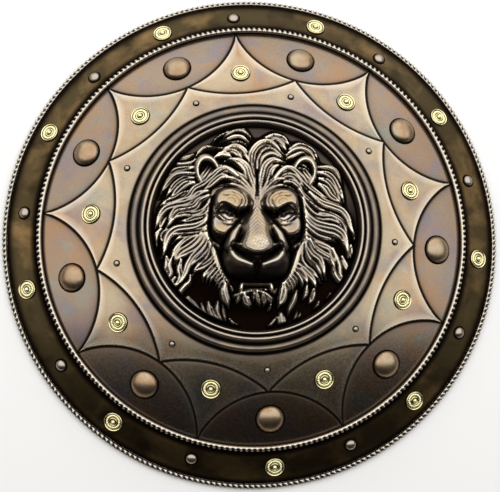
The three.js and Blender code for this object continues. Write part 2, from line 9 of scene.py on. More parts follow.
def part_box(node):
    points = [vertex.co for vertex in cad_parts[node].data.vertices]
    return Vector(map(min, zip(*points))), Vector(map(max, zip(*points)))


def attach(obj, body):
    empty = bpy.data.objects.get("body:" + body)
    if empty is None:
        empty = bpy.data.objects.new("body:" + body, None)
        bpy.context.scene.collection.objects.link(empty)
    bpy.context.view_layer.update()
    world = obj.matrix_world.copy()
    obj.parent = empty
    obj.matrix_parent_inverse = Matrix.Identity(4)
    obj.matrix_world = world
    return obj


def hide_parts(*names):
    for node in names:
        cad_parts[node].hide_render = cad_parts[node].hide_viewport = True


bl_info = {
    "name": "Lion Parade Shield",
    "version": (1, 0, 0),
    "blender": (4, 5, 0),
    "location": "3D View > Sidebar > Shield",
    "description": "Models a dished steel shield with a lion medallion, studs and brass rosettes",
    "category": "Object",
}

MM = 0.001
FOLDS = 9
SECTOR = 2 * math.pi / FOLDS

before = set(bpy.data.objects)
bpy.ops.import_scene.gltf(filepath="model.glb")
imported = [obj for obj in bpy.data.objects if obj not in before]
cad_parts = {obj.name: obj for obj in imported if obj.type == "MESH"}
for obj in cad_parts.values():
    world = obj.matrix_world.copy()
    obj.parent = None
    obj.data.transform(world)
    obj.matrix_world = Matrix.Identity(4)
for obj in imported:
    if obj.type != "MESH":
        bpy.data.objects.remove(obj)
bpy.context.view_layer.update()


def linear(hex_colour):
    """sRGB hex such as '7d6a58' as linear red, green and blue."""
    channels = [int(hex_colour[i:i + 2], 16) / 255 for i in (0, 2, 4)]
    return tuple(c / 12.92 if c <= 0.04045 else ((c + 0.055) / 1.055) ** 2.4 for c in channels)


def colour(name, description, hex_colour):
    return bpy.props.FloatVectorProperty(
        name=name, description=description, subtype="COLOR", size=3, min=0, max=1,
        default=linear(hex_colour))


def length(name, description, millimetres):
    return bpy.props.FloatProperty(
        name=name, description=description, unit="LENGTH", default=millimetres * MM)


class ShieldSizes(bpy.types.PropertyGroup):
    """Driving sizes of the shield, in metres."""

    pattern_turn: bpy.props.FloatProperty(
        name="Pattern turn", description="Angle of the first boss stud from the +X axis",
        unit="ROTATION", default=math.radians(-5.07))
    step: length("Step", "Rise of each embossed field above the one outside it", 1.2)
    point_radius: length("Points", "Distance of the lobes' outer points from the centre", 253.2)
    valley_radius: length("Valleys", "Distance of the corners between two lobes", 192.8)
    lobe_radius: length("Lobes", "Distance of the lobes' inner edge", 166.8)
    boss_radius: length("Boss place", "Distance of the boss studs from the centre", 223.7)
    boss_width: length("Boss width", "Width of a boss stud", 33)
    boss_height: length("Boss height", "Height of a boss stud", 9)
    inner_rosette_radius: length("Inner rosettes", "Distance of the inner rosettes", 195.2)
    rim_rosette_radius: length("Rim rosettes", "Distance of the rim rosettes", 279.6)
    rosette_width: length("Rosette width", "Width of a brass rosette", 23)
    rim_rivet_radius: length("Rim rivets", "Distance of the rim rivets", 278.6)
    rim_rivet_width: length("Rim rivet width", "Width of a rim rivet's head", 13.5)
    small_rivet_radius: length("Small rivets", "Distance of the small rivets", 167.9)
    small_rivet_width: length("Small rivet width", "Width of a small rivet's head", 6.6)
    edge_teeth: bpy.props.IntProperty(
        name="Edge teeth", description="Notches round the outer roped edge", default=286)
    rope_teeth: bpy.props.IntProperty(
        name="Ring teeth", description="Teeth round the inner roped ring", default=252)


class ShieldColours(bpy.types.PropertyGroup):
    """Colours of the finishes."""

    field: colour("Field steel", "Champagne tone of the rubbed high field", "9d8d75")
    lens: colour("Outer field steel", "Greyer tone of the outer fields", "807161")
    copper: colour("Copper tint", "Warm patina on the plate", "8f6b4c")
    slate: colour("Slate tint", "Cool patina on the plate", "6c6873")
    verdigris: colour("Teal tint", "Blue-green patina on the plate", "71807a")
    band: colour("Band steel", "Blackened olive steel of the rim band", "463b27")
    band_rub: colour("Band rubbed steel", "Coppery places where the band is rubbed", "8a6e48")
    # Blackening is the antiquing in the grooves and also the colour of all painted shade
    black: colour("Blackening", "Antiquing left in grooves", "0e0704")
    # Bright steel is the rubbed edges' colour and also the colour of painted highlights
    bright: colour("Bright steel", "Polished steel of beads and edges", "e2d8c6")
    bead: colour("Bead steel", "Steel of the roped edges", "a39a8c")
    rivet: colour("Rivet steel", "Dark polished steel of the rivets", "a39889")
    casting: colour("Casting", "Pewter grey of the medallion", "7f746a")
    gilt: colour("Gilt wash", "Warm wash on the face's high parts", "a98a5c")
    brass: colour("Brass", "Pale brass of the rosettes", "f2e8b4")
    leather: colour("Leather", "Straps on the back", "3b2618")
    floor: colour("Floor", "Studio floor", "dad9d7")


# Radii and heights of the dished plate, in millimetres as they are drawn
DOME_FOOT = (255.0, 27.6)
DOME_TOP = (149.5, 68.3)
DOME_SAGITTA = 2.0
BAND_OUTER_RADIUS = 298.3
BAND_INNER_RADIUS = 257.5
BAND_OUTER_HEIGHT = 5.1
BAND_SLOPE = 0.49
BAND_TILT = math.atan(BAND_SLOPE)
BAND_THICKNESS = 1.5
PLATE_THICKNESS = 1.2
CENTRE_RADIUS = 130
CENTRE_HEIGHT = 68.3
SEAT_RADIUS = 143.5
EMBOSSED_DEPTH = 4.0
CLEARANCE = 0.3


def dome_height(r):
    """Height of the plate's highest field at a distance from the centre, in millimetres."""
    chord = math.dist(DOME_FOOT, DOME_TOP)
    arc = chord * chord / (8 * DOME_SAGITTA)
    along = np.clip((DOME_FOOT[0] - r) / (DOME_FOOT[0] - DOME_TOP[0]), 0, 1.2)
    off = (along - 0.5) * chord
    straight = DOME_FOOT[1] + (DOME_TOP[1] - DOME_FOOT[1]) * along
    return straight + np.sqrt(arc ** 2 - off ** 2) - (arc - DOME_SAGITTA)


def dome_tilt(r):
    return math.atan2(float(dome_height(r - 1) - dome_height(r + 1)), 2)


def band_height(r):
    return BAND_OUTER_HEIGHT + BAND_SLOPE * (BAND_OUTER_RADIUS - r)


def arc_radius(angle, middle, cusp_radius, low_radius):
    """Distance to an arc that runs from a cusp at each side to its lowest point in the middle."""
    off = angle - middle - SECTOR * np.round((angle - middle) / SECTOR)
    centre = (cusp_radius ** 2 - low_radius ** 2) / (
        2 * (cusp_radius * math.cos(SECTOR / 2) - low_radius))
    radius = centre - low_radius
    return centre * np.cos(off) - np.sqrt(radius ** 2 - (centre * np.sin(off)) ** 2)


# Mesh helpers

def clear_selection():
    if bpy.context.object and bpy.context.object.mode != "OBJECT":
        bpy.ops.object.mode_set(mode="OBJECT")
    bpy.ops.object.select_all(action="DESELECT")


def pick(piece):
    """Makes one object the only selected one, and the active one."""
    clear_selection()
    piece.select_set(True)
    bpy.context.view_layer.objects.active = piece


def place_in_mesh(piece, name):
    """Moves a piece's place into its mesh, so its object sits at the origin."""
    piece.name = name
    piece.data.name = name
    piece.data.transform(piece.matrix_world)
    piece.matrix_world = Matrix.Identity(4)


def points_of(piece):
    flat = np.empty(len(piece.data.vertices) * 3)
    piece.data.vertices.foreach_get("co", flat)
    return flat.reshape(-1, 3)


def move_points(piece, points):
    piece.data.vertices.foreach_set("co", np.ascontiguousarray(points).ravel())
    piece.data.update()


def paint(piece, name, values):
    """Stores one number for each vertex, read by the material as an attribute."""
    layer = piece.data.attributes.get(name)
    if layer is None:
        layer = piece.data.attributes.new(name, "FLOAT", "POINT")
    layer.data.foreach_set("value", np.asarray(values, dtype=np.float32).ravel())


def fix_normals(piece):
    """Merges doubled points and turns all faces outwards."""
    pick(piece)
    bpy.ops.object.mode_set(mode="EDIT")
    bpy.ops.mesh.select_all(action="SELECT")
    bpy.ops.mesh.remove_doubles(threshold=1e-6)
    bpy.ops.mesh.normals_make_consistent(inside=False)
    bpy.ops.object.mode_set(mode="OBJECT")


def new_object(name, mesh):
    piece = bpy.data.objects.new(name, mesh)
    bpy.context.collection.objects.link(piece)
    return piece


def turned(name, profile, grime_and_shade, steps):
    """A ring or disc spun about Z from [radius, height] points in millimetres.

    A profile that starts off the axis is closed into a ring. The third argument gives how blackened
    each point of the profile is, from 0 to 1, by antiquing and by painted shade, and ends in clean
    points when it is shorter.
    """
    count = len(profile)
    edges = [(i, i + 1) for i in range(count - 1)]
    if profile[0][0] != 0:
        edges.append((count - 1, 0))
    mesh = bpy.data.meshes.new(name)
    mesh.from_pydata([(r * MM, 0, z * MM) for r, z in profile], edges, [])
    piece = new_object(name, mesh)
    paint(piece, "grime_and_shade", [*grime_and_shade, *[0] * (count - len(grime_and_shade))])
    pick(piece)
    bpy.ops.object.mode_set(mode="EDIT")
    bpy.ops.mesh.select_all(action="SELECT")
    bpy.ops.mesh.spin(steps=steps, angle=2 * math.pi, center=(0, 0, 0), axis=(0, 0, 1))
    bpy.ops.object.mode_set(mode="OBJECT")
    fix_normals(piece)
    return piece


def ring_mesh(name, rows, closed_ends):
    """A mesh from an array of rows, columns and xyz that closes on itself round the Z axis.

    With closed ends the first and last rows are filled, and otherwise joined, as in a torus.
    """
    count, columns = rows.shape[:2]
    points = rows.reshape(-1, 3)
    index = np.arange(count * columns).reshape(count, columns)
    nearer = index[:-1] if closed_ends else index
    further = index[1:] if closed_ends else np.roll(index, -1, 0)
    quads = np.stack([nearer, further, np.roll(further, -1, 1), np.roll(nearer, -1, 1)], -1)
    faces = quads.reshape(-1, 4).tolist()
    if closed_ends:
        front, back = len(points), len(points) + 1
        points = np.vstack([points, [[0, 0, rows[0, 0, 2]], [0, 0, rows[-1, 0, 2]]]])
        after = [(j + 1) % columns for j in range(columns)]
        faces += [(front, index[0, j], index[0, after[j]]) for j in range(columns)]
        faces += [(back, index[-1, after[j]], index[-1, j]) for j in range(columns)]
    mesh = bpy.data.meshes.new(name)
    mesh.from_pydata(points, [], faces)
    mesh.update()
    return new_object(name, mesh)


def stand_on(piece, angle, radius, height, tilt):
    """Stands a head, modelled at the origin, square to the plate at an angle and radius."""
    off = CLEARANCE * MM
    place = Vector((radius * MM + off * math.sin(tilt), 0, height * MM + off * math.cos(tilt)))
    piece.matrix_world = (
        Matrix.Rotation(angle, 4, "Z") @ Matrix.Translation(place) @ Matrix.Rotation(tilt, 4, "Y"))


def copy_of(piece):
    twin = piece.copy()
    twin.data = piece.data.copy()
    bpy.context.collection.objects.link(twin)
    return twin


def finish_piece(piece, node, material, sharp):
    """Smooths a finished piece below a sharp angle, gives it its material and body, and hides the CAD
    part it stands in for.
    """
    pick(piece)
    bpy.ops.object.shade_smooth_by_angle(angle=math.radians(sharp))
    piece.data.materials.clear()
    piece.data.materials.append(finishes()[material])
    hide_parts(node)
    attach(piece, "root")


# Material helpers

def add(tree, kind, inputs=None, stops=None, **settings):
    """Adds a shader node, sets its properties and fills its inputs with values or links."""
    made = tree.nodes.new("ShaderNode" + kind)
    for key, value in settings.items():
        setattr(made, key, value)
    for key, value in (inputs or {}).items():
        socket = made.inputs[key]
        if isinstance(value, bpy.types.NodeSocket):
            tree.links.new(value, socket)
        else:
            socket.default_value = value
    if stops:
        ramp = made.color_ramp
        while len(ramp.elements) < len(stops):
            ramp.elements.new(0.5)
        for element, (place, shade) in zip(ramp.elements, stops):
            element.position = place
            element.color = (*shade, 1)
    return made


def new_material(name):
    material = bpy.data.materials.new(name)
    material.use_nodes = True
    material.node_tree.nodes.clear()
    return material


def grey(value):
    return (value, value, value)


MIX_FACTOR, MIX_A, MIX_B, MIX_RESULT = 0, 6, 7, 2


def blend_colours(tree, factor, a, b, blend="MIX"):
    mixed = add(tree, "Mix", {MIX_FACTOR: factor, MIX_A: a, MIX_B: b},
                data_type="RGBA", blend_type=blend)
    return mixed.outputs[MIX_RESULT]


def patina(tree, place, base, tints):
    """A base colour clouded by tints: each a colour, a size in mm, the noise levels between
    which it comes up, and its strongest cover."""
    mixed = base
    for number, (tint, size, low, high, most) in enumerate(tints):
        shifted = add(tree, "Mapping", {"Vector": place, "Location": (0.37 * number, 0.21, 0.11)})
        cloud = add(tree, "TexNoise", {"Vector": shifted.outputs[0], "Scale": 1 / (size * MM),
                                       "Detail": 4.0, "Roughness": 0.55, "Distortion": 0.4})
        cover = add(tree, "ValToRGB", {"Fac": cloud.outputs["Fac"]},
                    stops=[(low, grey(0)), (high, grey(most))])
        mixed = blend_colours(tree, cover.outputs["Color"], mixed, (*tint, 1))
    return mixed


def metal_finish(name, base, tints, roughness, grain_size, bump, wash=None):
    """An aged metal, darkened by the blackening its points store, which is antiquing and painted shade,
    and brightened by their bright mark, which is rubbed wear and painted highlight.

    wash is a colour laid on where the points store a warmth.
    """
    colours = bpy.context.scene.shield_colours
    tree = new_material(name).node_tree
    place = add(tree, "TexCoord").outputs["Object"]
    ground = (*base, 1)
    if wash is not None:
        warmth = add(tree, "Attribute", attribute_name="warmth")
        ground = blend_colours(tree, warmth.outputs["Fac"], ground, (*wash, 1))
    tone = patina(tree, place, ground, tints)
    grain = add(tree, "TexNoise", {"Vector": place, "Scale": 1 / (grain_size * MM), "Detail": 5.0,
                                   "Roughness": 0.7})
    speck = add(tree, "ValToRGB", {"Fac": grain.outputs["Fac"]},
                stops=[(0.3, grey(0.86)), (0.65, grey(1.0))])
    tone = blend_colours(tree, 1.0, tone, speck.outputs["Color"], "MULTIPLY")
    # Brightened by the stored mark: rubbed wear and painted highlights
    polish_and_highlight = add(tree, "Attribute", attribute_name="polish_and_highlight")
    tone = blend_colours(tree, polish_and_highlight.outputs["Fac"], tone, (*colours.bright, 1))
    # Darkened by the stored blackening: antiquing and painted shade
    grime_and_shade = add(tree, "Attribute", attribute_name="grime_and_shade")
    tone = blend_colours(tree, grime_and_shade.outputs["Fac"], tone, (*colours.black, 1))
    rough = add(tree, "MapRange", {"Value": grain.outputs["Fac"], "From Min": 0.3, "From Max": 0.7,
                                   "To Min": roughness - 0.02, "To Max": roughness + 0.04})
    rougher = add(tree, "Math", {0: grime_and_shade.outputs["Fac"], 1: 0.35, 2: rough.outputs[0]},
                  operation="MULTIPLY_ADD", use_clamp=True)
    ripple = add(tree, "Bump", {"Height": grain.outputs["Fac"], "Strength": bump,
                                "Distance": 0.3 * MM})
    shader = add(tree, "BsdfPrincipled", {"Base Color": tone, "Metallic": 1.0,
                                          "Roughness": rougher.outputs[0],
                                          "Normal": ripple.outputs[0]})
    add(tree, "OutputMaterial", {"Surface": shader.outputs[0]})


def finishes():
    """Every material, made once and shared by the pieces."""
    if "aged plate steel" in bpy.data.materials:
        return bpy.data.materials
    c = bpy.context.scene.shield_colours
    # Mild steel sheet, pressed, lacquered and rubbed: a satin shine, clouded grey and copper
    metal_finish("aged plate steel", c.lens,
                 [(c.copper, 60, 0.44, 0.68, 0.65), (c.slate, 46, 0.48, 0.68, 0.6),
                  (c.copper, 16, 0.5, 0.74, 0.25), (c.verdigris, 38, 0.54, 0.7, 0.4)],
                 0.25, 3.0, 0.012, c.field)
    # The same sheet blackened and less rubbed: dark olive with coppery places
    metal_finish("blackened band steel", c.band,
                 [(c.band_rub, 60, 0.48, 0.72, 0.8), (c.black, 34, 0.5, 0.72, 0.5)],
                 0.34, 3.0, 0.06)
    # Spun studs of the same steel, rubbed brighter by handling
    metal_finish("rubbed stud steel", c.field, [(c.copper, 20, 0.4, 0.62, 0.75)], 0.34, 2.5, 0.04)
    # Milled steel wire, polished, black in the notches, with painted shade underneath and a painted
    # highlight along the top
    metal_finish("milled bead steel", c.bead, [(c.field, 30, 0.5, 0.8, 0.5)], 0.26, 2.0, 0.04)
    # Cut and domed rivet heads: dark polished steel with sharp reflections
    metal_finish("domed rivet steel", c.rivet, [(c.lens, 20, 0.5, 0.8, 0.4)], 0.29, 2.0, 0.03)
    # Cast white metal, antiqued black, rubbed back to bright ridges and washed with gilt, with painted
    # shade and painted highlights laid over the relief
    metal_finish("antiqued cast pewter", c.casting,
                 [(c.field, 45, 0.45, 0.65, 0.7), (c.slate, 30, 0.55, 0.7, 0.6)],
                 0.27, 2.4, 0.05, c.gilt)
    # Stamped brass, polished, with dark grooves
    metal_finish("stamped brass", c.brass, [(c.gilt, 14, 0.5, 0.8, 0.5)], 0.22, 2.0, 0.03)
    leather_finish("strap leather", c.leather)
    return bpy.data.materials


def leather_finish(name, base):
    """Vegetable-tanned leather: dull, mottled brown, with a fine pebbled grain."""
    tree = new_material(name).node_tree
    place = add(tree, "TexCoord").outputs["Object"]
    pebble = add(tree, "TexVoronoi", {"Vector": place, "Scale": 1 / (1.6 * MM)})
    cloud = add(tree, "TexNoise", {"Vector": place, "Scale": 1 / (18 * MM), "Detail": 4.0})
    shade = add(tree, "ValToRGB", {"Fac": cloud.outputs["Fac"]},
                stops=[(0.3, tuple(0.55 * x for x in base)), (0.7, tuple(1.25 * x for x in base))])
    ripple = add(tree, "Bump", {"Height": pebble.outputs["Distance"], "Strength": 0.35,
                                "Distance": 0.3 * MM})
    shader = add(tree, "BsdfPrincipled", {"Base Color": shade.outputs["Color"], "Roughness": 0.62,
                                          "Normal": ripple.outputs[0]})
    add(tree, "OutputMaterial", {"Surface": shader.outputs[0]})


# Soft lights: name, place and aim in metres, width, height and power
SOFTBOXES = (("overhead canopy", (0, 1.27, 1.7), (0, 1.27, 0), 9.0, 4.2, 240),
             ("far panel", (0, 3.4, 1.1), (0, 0, 0.2), 7.0, 1.5, 60))
FLOOR_SIZE = 12


class SHIELD_OT_stage(bpy.types.Operator):
    """Adds the floor, the soft lights and the camera at the photograph's angle"""

    bl_idname = "shield.stage"
    bl_label = "Stage"

    def execute(self, context):
        colours = context.scene.shield_colours
        clear_selection()
        bpy.ops.mesh.primitive_plane_add(size=FLOOR_SIZE, location=(0, 0, 0))
        floor = context.object
        place_in_mesh(floor, "floor")
        material = new_material("matt studio floor")
        tree = material.node_tree
        shader = add(tree, "BsdfPrincipled", {"Base Color": (*colours.floor, 1), "Roughness": 0.9})
        add(tree, "OutputMaterial", {"Surface": shader.outputs[0]})
        floor.data.materials.append(material)
        for softbox in SOFTBOXES:
            add_softbox(*softbox)
        world = bpy.data.worlds.new("studio")
        context.scene.world = world
        world.use_nodes = True
        background = world.node_tree.nodes["Background"]
        background.inputs["Color"].default_value = (1, 1, 1, 1)
        background.inputs["Strength"].default_value = 0.02
        context.scene.view_settings.view_transform = "Standard"
        add_camera()
        return {"FINISHED"}


def add_softbox(name, place, aim, width, height, power):
    """A rectangular light that faces the aim."""
    data = bpy.data.lights.new(name, "AREA")
    data.shape = "RECTANGLE"
    data.size = width
    data.size_y = height
    data.energy = power
    light = bpy.data.objects.new(name, data)
    light.location = place
    light.rotation_euler = (Vector(place) - Vector(aim)).to_track_quat("Z", "Y").to_euler()
    light.visible_camera = False
    bpy.context.scene.collection.objects.link(light)


# Camera measured from the photograph: its place and the middle of the rim bead, which it faces,
# in millimetres, and where its axis meets the picture, in pixels of the 500 by 492 frame
CAMERA_PLACE = (-87.3, -256.8, 1478.4)
RIM_MIDDLE = (0, 0, 3.1)
CAMERA_AIM_PIXEL = (251.9, 237.0)
CAMERA_FOCAL_PIXELS = 1215.5
PHOTO_SIZE = (500, 492)
SENSOR_WIDTH = 36


def add_camera():
    data = bpy.data.cameras.new("camera")
    data.sensor_width = SENSOR_WIDTH
    data.lens = CAMERA_FOCAL_PIXELS * SENSOR_WIDTH / PHOTO_SIZE[0]
    data.shift_x = (PHOTO_SIZE[0] / 2 - CAMERA_AIM_PIXEL[0]) / PHOTO_SIZE[0]
    data.shift_y = (CAMERA_AIM_PIXEL[1] - PHOTO_SIZE[1] / 2) / PHOTO_SIZE[0]
    camera = bpy.data.objects.new("camera", data)
    place = Vector(CAMERA_PLACE) * MM
    back = (place - Vector(RIM_MIDDLE) * MM).normalized()
    right = Vector((0, 1, 0)).cross(back).normalized()
    up = back.cross(right)
    axes = Matrix((right, up, back)).transposed().to_4x4()
    camera.matrix_world = Matrix.Translation(place) @ axes
    bpy.context.scene.collection.objects.link(camera)
    bpy.context.scene.camera = camera


# Points round each circle of the plate, and radii where its embossed front starts and ends
PLATE_COLUMNS = 1080
FRONT_INNER_RADIUS = 149.6
FRONT_OUTER_RADIUS = 254.4
# Circles of the plate's back, from the flange inwards, and how blackened it is
BACK_RADII = (252, 240, 220, 200, 175, 150, 136)
INNERMOST_RADIUS = 60
BACK_GRIME = 0.25


def across(edge, angle):
    """Radial millimetres for each millimetre square to an edge given by its radii."""
    return np.hypot(1, np.gradient(edge, angle) / edge)


class SHIELD_OT_plate(bpy.types.Operator):
    """Models the dished plate with its star of stepped fields"""

    bl_idname = "shield.plate"
    bl_label = "Dished plate"

    def execute(self, context):
        sizes = context.scene.shield_sizes
        turn = sizes.pattern_turn
        angle = turn + np.arange(PLATE_COLUMNS) * 2 * math.pi / PLATE_COLUMNS
        valley = sizes.valley_radius / MM
        edges = (arc_radius(angle, turn + SECTOR / 2, valley, sizes.lobe_radius / MM),
                 arc_radius(angle, turn, sizes.point_radius / MM, valley))
        radii = self.front_radii(edges, angle)
        drop, *marks = self.relief(radii, edges, angle, sizes.step / MM)
        front = np.stack([radii, dome_height(radii) - drop, *marks], -1)
        under_band = BAND_THICKNESS / math.cos(BAND_TILT) + CLEARANCE
        low = under_band + PLATE_THICKNESS
        middle = [(CENTRE_RADIUS, CENTRE_HEIGHT, 0), (SEAT_RADIUS, dome_height(SEAT_RADIUS), 0)]
        flange_and_back = [
            (BAND_INNER_RADIUS, band_height(BAND_INNER_RADIUS) - under_band, 1),
            (BAND_OUTER_RADIUS, band_height(BAND_OUTER_RADIUS) - under_band, 0),
            (BAND_OUTER_RADIUS, band_height(BAND_OUTER_RADIUS) - low, 0),
            (BAND_INNER_RADIUS - 1, band_height(BAND_INNER_RADIUS) - low, 0),
            *((r, dome_height(r) - EMBOSSED_DEPTH, BACK_GRIME) for r in BACK_RADII),
            (CENTRE_RADIUS - 2, CENTRE_HEIGHT - EMBOSSED_DEPTH, BACK_GRIME),
            (INNERMOST_RADIUS, CENTRE_HEIGHT - EMBOSSED_DEPTH, BACK_GRIME),
        ]
        rows = np.concatenate([self.circles(middle), front, self.circles(flange_and_back)])
        points = np.stack([rows[..., 0] * np.cos(angle), rows[..., 0] * np.sin(angle),
                           rows[..., 1]], -1) * MM
        piece = ring_mesh("shield_plate", points, closed_ends=True)
        for column, name in enumerate(("grime_and_shade", "polish_and_highlight", "warmth"), 2):
            paint(piece, name, np.append(rows[..., column], [0, 0]))
        finish_piece(piece, "shield_body", "aged plate steel", 40)
        return {"FINISHED"}

    def circles(self, levels):
        """Rows of the plate that are true circles, from radius, height and blackening."""
        return np.stack([np.tile([*level, 0, 0], (PLATE_COLUMNS, 1)) for level in levels])

    def front_radii(self, edges, angle):
        """Radii of the mesh's rows, drawn together along both stepped edges."""
        lobes, lenses = edges
        wanted = [np.full(len(angle), r)
                  for r in (FRONT_INNER_RADIUS, 150.3, 151.4, 152.4, 154.0, 251.5, 253.0,
                            FRONT_OUTER_RADIUS)]
        for edge in edges:
            scale = across(edge, angle)
            wanted += [edge + off * scale
                       for off in (-3.0, -2.1, -1.4, -0.9, -0.4, 0.1, 0.7, 1.4, 2.1, 3.4, 6)]
        wanted += [154 + (lobes - 157) * share for share in (0.35, 0.7)]
        wanted += [lobes + (lenses - lobes) * share for share in (0.3, 0.5, 0.7)]
        wanted += [lenses + (252 - lenses) * share for share in (0.3, 0.5, 0.7)]
        radii = np.clip(np.stack(wanted), FRONT_INNER_RADIUS, FRONT_OUTER_RADIUS)
        radii.sort(axis=0)
        for i in range(1, len(radii)):
            radii[i] = np.maximum(radii[i], radii[i - 1] + 0.02)
        return radii

    def relief(self, radii, edges, angle, step):
        """Drop below the highest field, blackening, sheen and warmth at the front's points: the
        blackening is antiquing in the step grooves and painted shade by the frame, the steps and the
        inner roped ring; the sheen is painted highlight.
        """
        drop = np.zeros(radii.shape)
        # Painted shade at the foot of the medallion's frame, fading outwards
        grime_and_shade = smooth_step(152.0, 150.6, radii) + 0.25 * smooth_step(158, 152, radii)
        # Painted highlight in a band just outside the frame
        polish_and_highlight = 0.3 * bell((radii - 153.2) / 0.8)
        for edge in edges:
            off = (radii - edge) / across(edge, angle)
            drop += step * smooth_step(-1.4, 0.1, off) + 0.3 * bell((off - 0.7) / 0.8)
            # Antiquing at the foot of each step with painted shadow over it, and a softer painted
            # shadow cast onto the lower field
            groove_black_and_shade = smooth_step(-1.6, -0.8, off) * smooth_step(2.9, 1.5, off)
            painted_step_shadow = 0.35 * np.exp(-np.clip(off - 1.8, 0, None) / 3) * (off > 0)
            grime_and_shade = np.maximum(grime_and_shade, np.maximum(0.96 * groove_black_and_shade, painted_step_shadow))
            # Painted highlight along each step's raised lip
            polish_and_highlight = np.maximum(polish_and_highlight, 0.5 * bell((off + 2.4) / 0.7))
        # Painted shade beside the inner roped ring
        grime_and_shade = np.maximum(grime_and_shade, 0.9 * smooth_step(251.4, 253.8, radii))
        outer_field = smooth_step(-0.5, 1.5, radii - edges[1])
        return drop, np.clip(grime_and_shade, 0, 1), polish_and_highlight, 1 - outer_field


class SHIELD_OT_band(bpy.types.Operator):
    """Models the dark band on the sloping flange"""

    bl_idname = "shield.band"
    bl_label = "Rim band"

    def execute(self, context):
        low = BAND_THICKNESS / math.cos(BAND_TILT)
        soft_edge = BAND_OUTER_RADIUS - 0.6
        top = (BAND_INNER_RADIUS, 264, 266.5, 270, 279, 288, 292, 294.5, soft_edge)
        profile = [
            (BAND_INNER_RADIUS, band_height(BAND_INNER_RADIUS) - low),
            *((r, band_height(r)) for r in top),
            (BAND_OUTER_RADIUS, band_height(BAND_OUTER_RADIUS) - 0.4),
            (BAND_OUTER_RADIUS, band_height(BAND_OUTER_RADIUS) - low),
        ]
        # Blackening of the band, deepest next to the two roped rings, where it is painted shade
        grime_and_shade = [1, 1, 1, 0.75, 0.15, 0, 0.05, 0.35, 0.8, 1, 1, 1]
        piece = turned("rim_band_sheet", profile, grime_and_shade, 360)
        finish_piece(piece, "rim_band", "blackened band steel", 35)
        return {"FINISHED"}


class SHIELD_OT_ropes(bpy.types.Operator):
    """Models the notched outer edge and the milled inner ring"""

    bl_idname = "shield.ropes"
    bl_label = "Roped edges"

    def execute(self, context):
        sizes = context.scene.shield_sizes
        low, high = (np.array(corner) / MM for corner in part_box("outer_roped_edge"))
        bead = (high[2] - low[2]) / 2
        roped_ring("outer_roped_edge", high[0] - bead, low[2] + bead, bead, sizes.edge_teeth, 0.12)
        low, high = (np.array(corner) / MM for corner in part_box("inner_roped_ring"))
        roped_ring("inner_roped_ring", INNER_RING_RADIUS, high[2] - INNER_BEAD, INNER_BEAD,
                   sizes.rope_teeth, 0.42)
        return {"FINISHED"}


# Inner ring's wire in millimetres, how finely both beads are drawn, how deep the notches are
# cut, as a share of the bead's radius, and how far they slant
INNER_RING_RADIUS = 257.9
INNER_BEAD = 3.1
COLUMNS_PER_TOOTH = 8
SECTION_POINTS = 14
NOTCH_DEPTH = 0.45
NOTCH_SLANT = 2.4


def roped_ring(node, major, height, bead, teeth, start):
    """A bead milled with slanting notches along its outer side, in millimetres.

    start is how far out on the bead's section, from 0 to 1, the notches begin.
    """
    columns = teeth * COLUMNS_PER_TOOTH
    angle = np.arange(columns) * 2 * math.pi / columns
    section = (np.arange(SECTION_POINTS) * 2 * math.pi / SECTION_POINTS)[:, None]
    outward = np.cos(section - 0.5)
    phase = 0.5 + 0.5 * np.cos(angle * teeth - NOTCH_SLANT * outward)
    notch = smooth_step(0.32, 0.58, phase) * smooth_step(start - 0.15, start + 0.15, outward)
    size = bead * (1 - NOTCH_DEPTH * notch)
    radius = major + size * np.cos(section)
    points = np.stack([radius * np.cos(angle), radius * np.sin(angle),
                       height + size * np.sin(section)], -1)
    piece = ring_mesh(node + "_milled", points * MM, closed_ends=False)
    # Antiquing black in the notches, and painted shade on the bead's underside
    underside_shade = 0.9 * smooth_step(-0.2, -0.7, np.sin(section + 0.5))
    paint(piece, "grime_and_shade", np.maximum(smooth_step(0.2, 0.7, notch), underside_shade))
    # Painted highlight along the bead's upper side, off the notches
    paint(piece, "polish_and_highlight", 0.4 * smooth_step(0.1, 0.8, np.sin(section + 0.4)) * (1 - notch))
    finish_piece(piece, node, "milled bead steel", 60)


def domed_head(name, skirt, dome, turns, fade, steps):
    """A domed head with a thin skirt round its foot, painted black as its contact shadow.

    skirt holds the skirt's points and dome the radius, foot and top of the dome, in millimetres.
    turns are the angles of its rings, and fade is the painted shade on the lowest two.
    """
    radius, foot, top = dome
    profile = [(0, 0), *skirt]
    profile += [(radius * math.cos(t), foot + (top - foot) * math.sin(t)) for t in turns]
    return turned(name, [*profile, (0, top)], [1, 1, 1, 1, *fade], steps)


def rivet_head(name, width, height, skirt):
    half = width / 2
    # The skirt and the two lowest rings are painted dark as the rivet's contact shadow
    return domed_head(name, [(half + skirt, 0), (half + skirt, 0.12), (half, 0.25)],
                      (half - 0.2, 0.3, height), (0.08, 0.3, 0.55, 0.8, 1.05, 1.3), (0.9, 0.4), 40)


def stand_round(master, node, made, radius, height, tilt, offsets, material):
    """Stands a copy of a head near each fold of the pattern, and finishes it.

    offsets are the angles between each head and the boss stud of its fold.
    """
    turn = bpy.context.scene.shield_sizes.pattern_turn
    for k, offset in enumerate(offsets):
        head = copy_of(master)
        stand_on(head, turn - SECTOR * k + offset, radius, height, tilt)
        place_in_mesh(head, f"{node}_{k + 1}_{made}")
        finish_piece(head, f"{node}_{k + 1}", material, 50)


